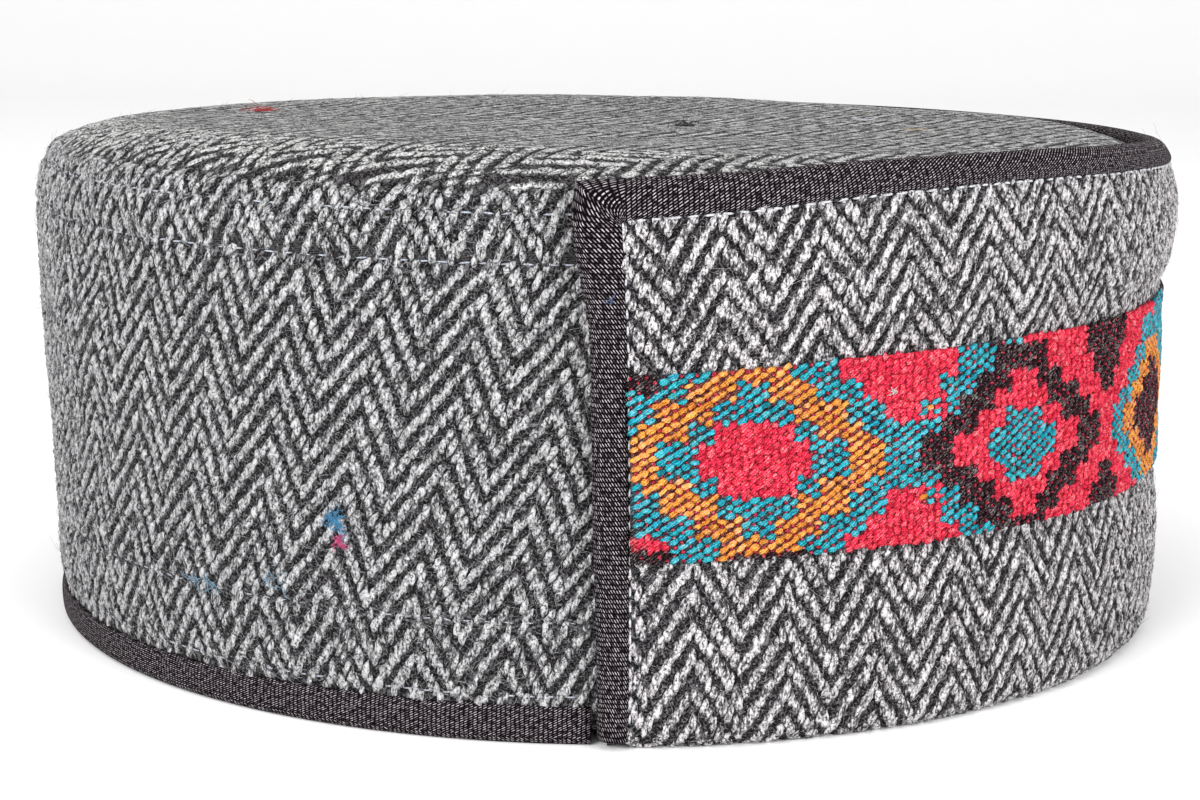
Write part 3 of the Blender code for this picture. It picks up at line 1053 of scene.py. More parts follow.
@dataclass
class Hairs:
    """Stray fibres standing off a cloth, each a thin tube along a bent line.

    Attributes:
        count: How many there are.
        longest: The longest fibre's length.
        seed: Which draw is used.
        thickness: A fibre's radius at its root.
        rows: How many rings of corners a fibre has.
        root: How far its root stands out of the cloth.
        lift: How steeply the steepest fibre rises.
        scatter: How far the roots stray from the places that they are drawn from.
    """

    count: int
    longest: float
    seed: int
    thickness: float = 0.042
    rows: int = 3
    root: float = 0.25
    lift: float = 0.55
    scatter: float = 1.2

    def mesh(self, surface: Surface, length: Array, height: Array) -> MeshDraft:
        """Makes the fibres.

        A fibre's line is root + t * toward + t^2 * curl, for t from 0 to 1, where toward and curl are
        drawn vectors in the surface's own directions, and its section is a triangle.

        Args:
            surface: The cloth.
            length: The first lengths of the places to draw from.
            height: The second lengths of the places to draw from.

        Returns:
            The draft of all of them.
        """
        draw = np.random.default_rng(self.seed)
        chosen = draw.integers(0, len(length), self.count)
        first, second = (
            part[chosen] + draw.normal(0.0, self.scatter, self.count) for part in (length, height)
        )
        places = frames_on(surface, first, second).turned(draw.uniform(0.0, 360.0, self.count))
        reach = (0.22 + 0.78 * draw.uniform(0.0, 1.0, self.count) ** 4.0) * self.longest
        lift = draw.uniform(0.1, 1.0, self.count) * self.lift
        bend = draw.uniform(-0.8, 0.8, self.count)
        share = np.linspace(0.0, 1.0, self.rows)[None, :, None]
        fall = lift * draw.uniform(0.3, 1.1, self.count)
        toward = places.along + places.out * lift[:, None]
        curl = places.across * bend[:, None] - places.out * fall[:, None]
        line = places.origin[:, None, :] + places.out[:, None, :] * self.root
        line = line + reach[:, None, None] * (share * toward[:, None, :] + share**2 * curl[:, None, :])
        turns = np.radians((0.0, 120.0, 240.0))
        ring = (
            places.out[:, None, None, :] * np.cos(turns)[None, None, :, None]
            + places.across[:, None, None, :] * np.sin(turns)[None, None, :, None]
        )
        taper = self.thickness * (1.0 - 0.6 * share[..., None])
        points = line[:, :, None, :] + ring * taper
        corner = np.arange(3)
        after = (corner + 1) % 3
        start = 3 * np.arange(self.rows - 1)[:, None]
        ahead = start + 3
        quads = np.stack((start + corner, start + after, ahead + after, ahead + corner), -1).reshape(-1, 4)
        last = 3 * self.rows
        caps = np.array(((2, 1, 0), (last - 3, last - 2, last - 1)))
        step = (np.arange(self.count) * last)[:, None, None]
        blocks = [(quads[None] + step).reshape(-1, 4), (caps[None] + step).reshape(-1, 3)]
        return MeshDraft(points.reshape(-1, 3), blocks)


@dataclass(frozen=True)
class StitchRow:
    """A row of sewn stitches on a cloth.

    Attributes:
        length: One stitch's length.
        width: Its thickness.
        spare: The space to the next stitch.
        lift: How far its middle stands out of the cloth.
    """

    length: float = 1.8
    width: float = 0.42
    spare: float = 0.5
    lift: float = 0.18

    def mesh(self, surface: Surface, path: Array, seed: int) -> MeshDraft:
        """Lays stitches along a path of lengths and heights on a cloth.

        Args:
            surface: The cloth.
            path: Points along the row, n by 2.
            seed: Which draw is used.

        Returns:
            The draft of the row.
        """
        draw = np.random.default_rng(seed)
        run = run_along(path)
        middles = np.arange(self.length, run[-1], self.length + self.spare)
        middles = middles + draw.normal(0.0, 0.12, len(middles))
        before, (first, second), after = (
            [np.interp(middles + offset, run, part) for part in path.T] for offset in (-0.3, 0.0, 0.3)
        )
        heading = np.degrees(np.arctan2(after[1] - before[1], after[0] - before[0]))
        turn = heading - 90.0 + draw.normal(0.0, 5.0, len(middles))
        places = frames_on(surface, first, second).turned(turn)
        half = draw.normal(self.length / 2.0, 0.08, len(middles))
        tone = draw.normal(0.8, 0.15, len(middles))
        pod = Pod(rings=3, sides=6, fullness=0.35, shaded_end_tone=0.6)
        return pod.many(places, half, self.width / 2.0, self.width / 2.0, self.lift, tone)


@dataclass
class SideWall:
    """The full ring of tweed under the crown, pinched in along its rows of stitching.

    Attributes:
        step: The size of its faces.
        stitched: The height of each row of stitching.
        past_ends: How far past the half round floats are looked for, as the flap's ends lean.
        panels: Its stretches of weave, from below.
    """

    step: float = 2.2
    stitched: tuple = (75.3, 68.5, 17.8, 7.1)
    past_ends: float = 8.0
    panels: tuple = (
        Panel(5.4, 17.6, -13.8 + WHOLE_ROUND, 6.65, 1.2, 0.05, -0.06, -12.0),
        Panel(18.0, 68.2, -13.8 + WHOLE_ROUND, 6.9, 1.22, 0.24, -0.06, -24.0),
        Panel(68.7, 82.0, -13.8 + WHOLE_ROUND, 6.9, 1.13, -0.16, -0.08, -8.0),
    )

    def outward(self, bearing: Array, height: Array, outward: Array) -> Array:
        """The wall's own line less the press behind the flap and a pinch at each row of stitching."""
        length = np.radians(bearing) * CAP.flap_radius
        pinch = sum(bell(height, row, 0.8) for row in self.stitched) * 0.30
        back = smooth_step(-np.sin(np.radians(bearing)), 0.0, 0.15)
        return outward - CAP.wall_behind(bearing, height) - pinch + ripple(length, height, 0.18, 5) * back

    def line(self) -> tuple[Array, Array, Array]:
        """The run along the wall's line, with its heights and outward distances."""
        heights, outwards = column(CAP.wall_rows, 0), column(CAP.wall_rows, 1)
        return run_along(np.stack((heights, outwards), axis=-1)) + heights[0], heights, outwards

    def at(self, length: Array, run: Array) -> Array:
        """Points on the outer face at a length round the wall and a run up it."""
        runs, heights, outwards = self.line()
        bearing = np.degrees(length / CAP.flap_radius)
        height = eased(run, runs, heights, 0.9)
        return CAP.place(bearing, height, self.outward(bearing, height, eased(run, runs, outwards, 0.9)))

    def panel_grid(self, length: Array, run: Array) -> tuple[Array, Array]:
        """The ends and picks of the panel that each place is in."""
        ends, picks = self.panels[0].weave(length, run)
        for panel in self.panels[1:]:
            inside = run >= panel.low
            panel_ends, panel_picks = panel.weave(length, run)
            ends = np.where(inside, panel_ends, ends)
            picks = np.where(inside, panel_picks, picks)
        return ends, picks

    def build(self) -> None:
        """Makes the cloth, its floats and its stray fibres."""
        runs = self.line()[0]
        count = int(WHOLE_ROUND / self.step)
        lengths = CAP.half_round / 2.0 + np.linspace(0.0, WHOLE_ROUND, count + 1)
        rows = np.linspace(runs[0], runs[-1], int((runs[-1] - runs[0]) / self.step) + 8)
        length, run = np.meshgrid(lengths, rows)
        outer = self.at(length[:, :-1], run[:, :-1])
        inner = outer - grid_normals(outer, True) * CAP.wall_cloth
        ends, picks = self.panel_grid(length, run)
        draft = shell(outer, inner, np.stack((ends, picks), axis=-1), wraps=True)
        bearing = np.degrees(length[:, :-1] / CAP.flap_radius) % 360.0
        bare = np.where(bearing < 180.0, 1.0, PAINTED).ravel()
        draft.values["bare"] = np.concatenate((bare, np.ones(len(bare))))
        cloth = draft.build("wall_cloth", TweedGround("wall_tweed").make(), "tweed")
        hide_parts("side_wall")
        self._floats()

    def _floats(self) -> None:
        """Lays the light floats on the back half, and its stray fibres."""
        begin, finish = CAP.half_round + 0.3, WHOLE_ROUND - 0.3
        length, run, lean = floats_on(self.panels, begin - self.past_ends, finish + self.past_ends)
        under_right = (length > finish) & (length - WHOLE_ROUND > CAP.end_edge(run, 1) + 0.5)
        under_left = (length < begin) & (CAP.half_round - length > CAP.end_edge(run, 1) + 0.5)
        keep = ~(under_right | under_left) & (run < self.line()[0][-1] - 0.3)
        length, run, lean = length[keep], run[keep], lean[keep]
        draft = Floats(21, 0.62).mesh(self.at, length, run, lean)
        wool = FloatWool("wall_wool", (0.03, 0.03, 0.032), (0.24, 0.238, 0.245), (0.56, 0.555, 0.565))
        draft.build("wall_floats", wool.make(), "tweed")
        hairs = Hairs(9500, 4.0, 22).mesh(self.at, length, run)
        hairs.build("wall_hairs", PlainWool("wall_fibre", (0.56, 0.555, 0.57), 0.08).make(), "tweed")


@dataclass
class Flap:
    """The turned-up front half, folded under the rim and standing up past the crown.

    Attributes:
        step: The size of its faces.
        inside_edge: How far the cloth's edge stays inside the tape's folded edge.
        under_border: A height behind the border, where the one weave stops and the other starts.
        panels: Its stretches of weave, below and above the border.
    """

    step: float = 2.0
    inside_edge: float = 1.5
    under_border: float = 41.0
    panels: tuple = (
        Panel(-2.0, 29.0, 13.6, 6.93, 1.172, -0.02, -0.06, -10.0),
        Panel(53.5, 80.0, 17.2, 6.80, 1.07, -0.09, 0.14, -10.0),
    )

    def at(self, length: Array, height: Array) -> Array:
        """Points on the flap's outer face."""
        return CAP.flap_at(length, height)

    def build(self) -> None:
        """Makes the cloth, its floats and its stray fibres."""
        share = np.linspace(0.0, 1.0, int(CAP.half_round / self.step) + 1)[None, :]
        foot = CAP.wall_rows[0][1] - CAP.wall_cloth
        fold_start = CAP.fold_radius * (1.0 - math.pi / 2.0)
        bearing = 180.0 * share
        reach_in = CAP.flap_outward(bearing, np.full(share.shape, CAP.fold_radius)) - CAP.fold_radius - foot
        under = fold_start - reach_in * np.linspace(1.0, 0.2, 4)[:, None]
        fold = np.linspace(fold_start, CAP.fold_radius, 9)[:, None] + 0.0 * share
        top = CAP.top_line(bearing, 3) - self.inside_edge
        body = CAP.fold_radius + (top - CAP.fold_radius) * np.linspace(0.0, 1.0, 50)[1:, None]
        height = np.concatenate((under, fold, body))
        edge = CAP.end_edge(np.maximum(height, 0.0), 1) + self.inside_edge
        length = edge + (CAP.half_round - 2.0 * edge) * share
        outer = self.at(length, height)
        inner = outer - grid_normals(outer, False) * CAP.flap_cloth
        upper = height > self.under_border
        lower_weave, upper_weave = (np.stack(panel.weave(length, height), axis=-1) for panel in self.panels)
        draft = shell(outer, inner, np.where(upper[..., None], upper_weave, lower_weave))
        bare = np.where(height < self.panels[0].low, 1.0, PAINTED).ravel()
        draft.values["bare"] = np.concatenate((bare, np.ones(len(bare))))
        cloth = draft.build("flap_cloth", TweedGround("flap_tweed").make(), "tweed")
        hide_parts("flap")
        self._floats()

    def _floats(self) -> None:
        """Lays the light floats where neither tape nor border covers the flap, and its stray fibres."""
        length, height, lean = floats_on(self.panels, 0.0, CAP.half_round)
        sewn = CAP.end_edge(np.maximum(height, 0.0), 2) - 0.2
        top = CAP.top_line(np.degrees(length / CAP.flap_radius), 1) + 0.5
        from_side = np.minimum(length, CAP.half_round - length)
        steps, lows, highs = (column(CAP.border_rows, index) for index in range(3))
        low = np.interp(from_side, steps, lows) + 0.6
        high = np.interp(from_side, steps, highs) - 0.6
        keep = (from_side > sewn) & (height < top) & ((height < low) | (height > high))
        length, height, lean = length[keep], height[keep], lean[keep]
        draft = Floats(31, 0.66).mesh(self.at, length, height, lean)
        draft.build("flap_floats", FloatWool("flap_wool").make(), "tweed")
        hairs = Hairs(5500, 3.2, 32).mesh(self.at, length, height)
        hairs.build("flap_hairs", PlainWool("flap_fibre", (0.58, 0.56, 0.57), 0.04).make(), "tweed")


@dataclass
class Crown:
    """The round flat top, with a soft edge beside its seam.

    Attributes:
        turn: How far its weave is turned, in degrees.
        panel: Its weave.
        near: The bearing where the puff is highest.
        near_width: The width of the puff's bell, in degrees.
        back: The bearing where the back is lifted.
        back_lift: How much it is lifted there.
        edge_waves: Waves along the front edge: height, bearing and width in degrees.
        rings: The rings of its mesh, as shares of the seam's radius.
        relief: How thick the floats are away from the puff, and how much thicker on it.
    """

    turn: float = 30.0
    panel: Panel = Panel(-92.0, 92.0, 3.0, 6.9, 1.17, 0.0, 0.0, -10.0)
    near: float = 340.0
    near_width: float = 62.0
    back: float = 250.0
    back_lift: float = 0.8
    edge_waves: tuple = ((0.6, 115.0, 12.0), (-0.5, 141.0, 11.0))
    rings: tuple = (1.0, 0.996, 0.991, 0.984, 0.975, 0.962, 0.945, *np.linspace(0.92, 0.02, 26))
    relief: tuple = (0.12, 0.70)

    def share(self, across: Array, depth: Array) -> tuple[Array, Array]:
        """How far out towards the seam a level place is, and its bearing."""
        reach = np.where(depth < CAP.shift, CAP.to_front, CAP.to_back) + CAP.crown_seam
        side = across / (CAP.half_width + CAP.crown_seam)
        front = (depth - CAP.shift) / reach
        return np.hypot(side, front), np.degrees(np.arctan2(-front, -side)) % 360.0

    def nearness(self, bearing: Array) -> Array:
        """How much of the puff a bearing has, by a bell about the near side."""
        return bell((bearing - self.near + 180.0) % 360.0 - 180.0, 0.0, self.near_width)

    def height(self, share: Array, bearing: Array) -> Array:
        """The crown's height: its table, with the puff, a slow ripple and the front edge's own waves."""
        base = eased(share, column(CAP.crown_rows, 0), column(CAP.crown_rows, 1), 0.004)
        puff = eased(share, column(CAP.crown_puff, 0), column(CAP.crown_puff, 1), 0.010)
        edge = np.clip(share, 0.0, 1.0) ** 6
        back = np.maximum(np.cos(np.radians(bearing - self.back)), 0.0) * share * (1.0 - edge)
        base = base + puff * self.nearness(bearing) * smooth_step(1.0 - share, 0.0, 0.004)
        base = base + self.back_lift * back
        waves = sum(height * bell(bearing, at, width) for height, at, width in self.edge_waves)
        turn = np.radians(bearing)
        flat_one, flat_two = share * np.cos(turn) * 90.0, share * np.sin(turn) * 90.0
        return base + waves * edge + ripple(flat_one, flat_two, 0.16, 41) * (1.0 - edge)

    def at_level(self, across: Array, depth: Array) -> Array:
        """Points over level places, given as x and y."""
        share, bearing = self.share(across, depth)
        return np.stack(np.broadcast_arrays(across, depth, self.height(share, bearing)), axis=-1)

    def level(self, first: Array, second: Array) -> tuple[Array, Array]:
        """The x and y of places given in the weave's own turned directions."""
        angle = math.radians(self.turn)
        across = first * math.cos(angle) - second * math.sin(angle)
        return across, CAP.shift + first * math.sin(angle) + second * math.cos(angle)

    def at(self, first: Array, second: Array) -> Array:
        """Points over places given in the weave's own turned directions."""
        return self.at_level(*self.level(first, second))

    def build(self) -> None:
        """Makes the cloth, its floats and its stray fibres."""
        bearing, share = np.meshgrid(np.linspace(0.0, 360.0, 201), self.rings)
        seam = CAP.place(bearing, self.height(share, bearing), CAP.crown_seam)
        middle = np.array((0.0, CAP.shift))
        grid = seam.copy()
        grid[..., :2] = middle + (seam[..., :2] - middle) * share[..., None]
        outer = grid[:, :-1]
        inner = outer - grid_normals(outer, True) * CAP.crown_cloth
        peak = np.array((0.0, CAP.shift, float(self.height(np.zeros(1), np.zeros(1))[0])))
        poles = np.stack((peak, peak - (0.0, 0.0, CAP.crown_cloth)))
        angle = math.radians(self.turn)
        level = grid[..., :2] - middle
        first = level[..., 0] * math.cos(angle) + level[..., 1] * math.sin(angle)
        second = level[..., 1] * math.cos(angle) - level[..., 0] * math.sin(angle)
        uv = np.stack(self.panel.weave(first, second), axis=-1)
        draft = shell(outer, inner, uv, wraps=True, poles=poles)
        size = outer.shape[0] * outer.shape[1]
        bare = (np.full(size, CROWN_PAINTED), np.ones(size), (CROWN_PAINTED, 1.0))
        draft.values["bare"] = np.concatenate(bare)
        cloth = draft.build("crown_cloth", TweedGround("crown_tweed").make(), "tweed")
        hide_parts("crown")
        self._floats()

    def _floats(self) -> None:
        """Lays the light floats inside the seam, and its stray fibres."""
        first, second = self.panel.floats(self.panel.low, self.panel.high)
        share, bearing = self.share(*self.level(first, second))
        keep = share < 0.998
        first, second, share, bearing = (part[keep] for part in (first, second, share, bearing))
        on_puff = self.nearness(bearing) * smooth_step(share, 0.80, 0.94)
        relief = self.relief[0] + self.relief[1] * on_puff
        draft = Floats(42, 0.72, CROWN_POD).mesh(self.at, first, second, self.panel.lean, relief)
        wool = FloatWool("crown_wool", (0.02, 0.02, 0.02), (0.18, 0.18, 0.18), (0.62, 0.615, 0.61))
        draft.build("crown_floats", wool.make(), "tweed")
        hairs = Hairs(1500, 3.0, 43, root=0.0, lift=0.2).mesh(self.at, first, second)
        hairs.build("crown_hairs", PlainWool("crown_fibre", (0.25, 0.25, 0.25), 0.2).make(), "tweed")


# Tapes and border


@dataclass
class FlapTape:
    """The black tape folded over the flap's free edge: up one end, along the top and down the other.

    Attributes:
        step: The size of its faces.
        foot: How high its ends start.
        corner: The radius of the sewn edge's corner.
    """

    step: float = 2.0
    foot: float = 1.6
    corner: float = 0.5

    def edges(self) -> tuple[Array, Array]:
        """The sewn and folded edges as lengths and heights.

        Up the end both edges are read from the table. Round the corner the stations fan about the
        sewn edge's corner, out to where the two folded edges meet. Along the top both are read by bearing.
        """
        right = self._end(0.0)
        mirrored = [part[::-1] * (-1.0, 1.0) + (CAP.half_round, 0.0) for part in self._end(180.0)]
        first, last = right[0][-1, 0], mirrored[0][0, 0]
        length = np.linspace(first, last, int((last - first) / self.step))[1:-1]
        bearing = np.degrees(length / CAP.flap_radius)
        sewn = np.stack((length, CAP.top_line(bearing, 1)), axis=-1)
        folded = np.stack((length, CAP.top_line(bearing, 3)), axis=-1)
        return tuple(np.concatenate(parts) for parts in zip(right, (sewn, folded), mirrored))

    def _end(self, bearing: float) -> tuple[Array, Array]:
        """The two edges up one end and round its corner, measured from that side of the cap."""
        top = float(CAP.top_line(np.array(bearing), 3))
        level = float(CAP.top_line(np.array(bearing), 1)) - self.corner
        height = np.linspace(self.foot, level, int(level / self.step))
        sewn, folded = CAP.end_edge(height, 2), CAP.end_edge(height, 1)
        middle = np.array((sewn[-1] + self.corner, level))
        diagonal = math.atan2(top - level, middle[0] - folded[-1])
        angle = np.linspace(0.0, math.pi / 2.0, 15)[1:]
        toward = np.stack((-np.cos(angle), np.sin(angle)), axis=-1)
        to_side = (middle[0] - folded[-1]) / np.maximum(np.cos(angle), 1e-6)
        to_top = (top - level) / np.sin(angle)
        reach = np.where(angle < diagonal, to_side, to_top)
        round_off = 1.0 - 0.05 * bell(angle, diagonal, 0.25)
        inner = middle + self.corner * toward
        outer = middle + (reach * round_off)[:, None] * toward
        return tuple(
            np.concatenate((np.stack((edge, height), axis=-1), round_corner))
            for edge, round_corner in ((sewn, inner), (folded, outer))
        )

    def build(self) -> None:
        """Makes the tape as a pillowed strip that is folded over the cloth's edge."""
        sewn, folded = self.edges()
        width = np.linalg.norm(folded - sewn, axis=1)[None, :]
        half = CAP.flap_cloth / 2.0 + CAP.gap + CAP.tape
        flat = np.linspace(0.0, 1.0, 9)[:, None]
        turn = np.linspace(0.0, math.pi, 9)[1:-1, None]
        pillow = half - 0.42 * (1.0 - flat) ** 6 + 0.10 * np.sin(math.pi * flat)
        offset = np.concatenate((pillow, half * np.cos(turn), -pillow[::-1])) + 0.0 * width
        to_fold = width - half
        skins = []
        for bend, share in ((half, 1.0), (half - CAP.tape, 1.0 - CAP.tape / half)):
            along = np.concatenate((flat * to_fold, to_fold + bend * np.sin(turn), flat[::-1] * to_fold))
            skins.append(self._points(sewn, folded, width, along, offset * share))
        outer, inner = skins
        uv = np.stack(np.meshgrid(run_along((sewn + folded) / 2.0), run_along(outer[:, 0])), axis=-1)
        draft = orient_out(shell(outer[::-1], inner[::-1], uv[::-1]))
        tape = draft.build("flap_tape", TapeTwill("flap_twill").make(), "black_tape")
        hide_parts("flap_binding")

    def _points(self, sewn: Array, folded: Array, width: Array, along: Array, offset: Array) -> Array:
        """The section's points: along from the sewn to the folded edge, offset out from mid-cloth."""
        share = (along / width)[..., None]
        spot = sewn[None] + (folded - sewn)[None] * share
        return CAP.flap_at(spot[..., 0], spot[..., 1], offset - CAP.flap_cloth / 2.0)


def orient_out(draft: MeshDraft) -> MeshDraft:
    """Turns every face round where a draft's volume, a sixth of the sum of a . (b x c), is negative."""
    volume = 0.0
    for block in draft.faces:
        corner = draft.points[block]
        for step in range(1, block.shape[1] - 1):
            volume += float(np.sum(corner[:, 0] * np.cross(corner[:, step], corner[:, step + 1]))) / 6.0
    if volume >= 0.0:
        return draft
    uv, start, flipped = draft.corner_uv, 0, []
    for block in draft.faces:
        stop = start + block.size
        flipped.append(uv[start:stop].reshape(len(block), -1, 2)[:, ::-1].reshape(-1, 2))
        start = stop
    faces = [block[:, ::-1] for block in draft.faces]
    return MeshDraft(draft.points, faces, np.concatenate(flipped), draft.values)


@dataclass
class LowerTape:
    """The black tape folded over the wall's foot, round the back half.

    Attributes:
        at_sides: Its height at the cap's sides.
        at_back: Its height at the back.
        bend: The radius of its bottom corners.
    """

    at_sides: float = 5.6
    at_back: float = 4.7
    bend: float = 1.0

    def build(self) -> None:
        """Makes the tape from its section: down the inside, under the foot and up the outside."""
        outer_out = CAP.wall_rows[0][1] + CAP.gap + CAP.tape
        inner_out = CAP.wall_rows[0][1] - CAP.wall_cloth - CAP.gap - CAP.tape
        length = np.linspace(180.5, 359.5, 130) * math.pi / 180.0 * CAP.flap_radius
        bearing = np.degrees(length / CAP.flap_radius)[None, :]
        top = self.at_sides - (self.at_sides - self.at_back) * np.sin(np.radians(bearing)) ** 2
        up = np.linspace(1.0, 0.0, 8)[:, None]
        turn = np.linspace(0.0, math.pi / 2.0, 6)[1:, None]
        skins = []
        for skin in (0.0, CAP.tape):
            bend = self.bend - skin * 0.9
            curl = 0.38 * up**6 - 0.12 * np.sin(math.pi * up)
            side_height = bend + skin + up * (top - bend - skin)
            outwards = (
                inner_out + skin + curl,
                inner_out + skin + bend * (1.0 - np.cos(turn)),
                outer_out - skin - bend * (1.0 - np.sin(turn[::-1])),
                (outer_out - skin - curl)[::-1],
            )
            heights = (
                side_height,
                skin + bend * (1.0 - np.sin(turn)),
                skin + bend * (1.0 - np.cos(turn[::-1])),
                side_height[::-1],
            )
            outward, height = (
                np.concatenate([part + 0.0 * bearing for part in parts]) for parts in (outwards, heights)
            )
            skins.append(CAP.place(bearing, height, outward))
        outer, inner = skins
        uv = np.stack(np.meshgrid(length, run_along(outer[:, 0])), axis=-1)
        draft = orient_out(shell(outer, inner, uv))
        tape = draft.build("lower_tape", TapeTwill("lower_twill").make(), "black_tape")
        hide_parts("lower_binding")


class Yarn(Enum):
    """The border's colours."""

    TURQUOISE = (0.014, 0.45, 0.55)
    ORANGE = (0.98, 0.37, 0.050)
    RED = (0.98, 0.032, 0.085)
    MAROON = (0.022, 0.005, 0.009)


YARNS = list(Yarn)
PALETTE = np.array([yarn.value for yarn in Yarn])

# Painted shade between the stitches: each yarn's colour darkened, in the same order
SHADED_GROUND = np.array(((0.02, 0.055, 0.07), (0.22, 0.045, 0.020), (0.75, 0.022, 0.055), (0.012, 0.003, 0.005)))


@dataclass(frozen=True)
class Patch:
    """A small rectangle of one colour.

    Attributes:
        yarn: Its colour.
        along: Where it starts and stops, along from the first medallion's middle.
        rise: Where it starts and stops, above the middle row.
    """

    yarn: Yarn
    along: tuple[float, float]
    rise: tuple[float, float]

    def covers(self, along: Array, rise: Array) -> Array:
        """Whether places are inside the rectangle."""
        beside = (along > self.along[0]) & (along < self.along[1])
        return beside & (rise > self.rise[0]) & (rise < self.rise[1])


@dataclass(frozen=True)
class Ring:
    """A stepped diamond of one colour.

    Attributes:
        yarn: Its colour.
        steps: Pairs of how far from the middle row a step reaches, and its half width.
    """

    yarn: Yarn
    steps: tuple

    def covers(self, from_middle: Array, rise: Array) -> Array:
        """Whether places are inside the diamond."""
        reach = np.zeros(np.shape(rise))
        for limit, half_width in reversed(self.steps):
            reach = np.where(np.abs(rise) < limit, half_width, reach)
        return np.abs(from_middle) < reach


SUN = (
    Ring(Yarn.ORANGE, ((2.8, 19.3), (5.0, 16.4), (8.3, 13.3), (11.0, 8.9), (15.0, 5.3))),
    Ring(Yarn.TURQUOISE, ((2.8, 13.6), (5.2, 9.6), (8.2, 6.0), (11.0, 2.5))),
    Ring(Yarn.RED, ((2.4, 8.3), (5.2, 5.3))),
)
NIGHT = (
    Ring(Yarn.MAROON, ((2.6, 20.5), (5.4, 17.0), (8.2, 13.6), (11.0, 9.0), (15.0, 5.6))),
    Ring(Yarn.RED, ((2.4, 13.7), (5.2, 9.2), (8.0, 5.8), (10.9, 2.7))),
    Ring(Yarn.TURQUOISE, ((2.5, 7.6), (5.3, 4.2))),
)
SEA = (
    Ring(Yarn.TURQUOISE, ((2.6, 20.8), (5.4, 17.6), (8.2, 14.5), (11.0, 11.0), (15.0, 8.0))),
    Ring(Yarn.ORANGE, ((2.6, 15.3), (5.4, 12.0), (8.2, 8.8), (11.0, 5.0))),
    Ring(Yarn.MAROON, ((2.6, 9.8), (5.4, 6.6), (8.0, 3.0))),
)


# The thin rows beside the first teeth, above the middle row and alike below it
TAILS = (
    Patch(Yarn.RED, (24.5, 30.0), (4.9, 5.605)),
    Patch(Yarn.RED, (24.5, 30.0), (6.31, 7.015)),
    Patch(Yarn.RED, (24.5, 30.0), (7.72, 8.4)),
    Patch(Yarn.ORANGE, (25.5, 28.0), (6.31, 7.015)),
)

# The corners beside the right end tape, and the dark line below the first medallion
CORNERS = (
    Patch(Yarn.MAROON, (-math.inf, -13.2), (9.3, math.inf)),
    Patch(Yarn.RED, (-math.inf, -12.5), (-math.inf, -11.2)),
    Patch(Yarn.MAROON, (-5.0, 8.0), (-math.inf, -13.3)),
    Patch(Yarn.MAROON, (-math.inf, -12.5), (-math.inf, -12.6)),
)


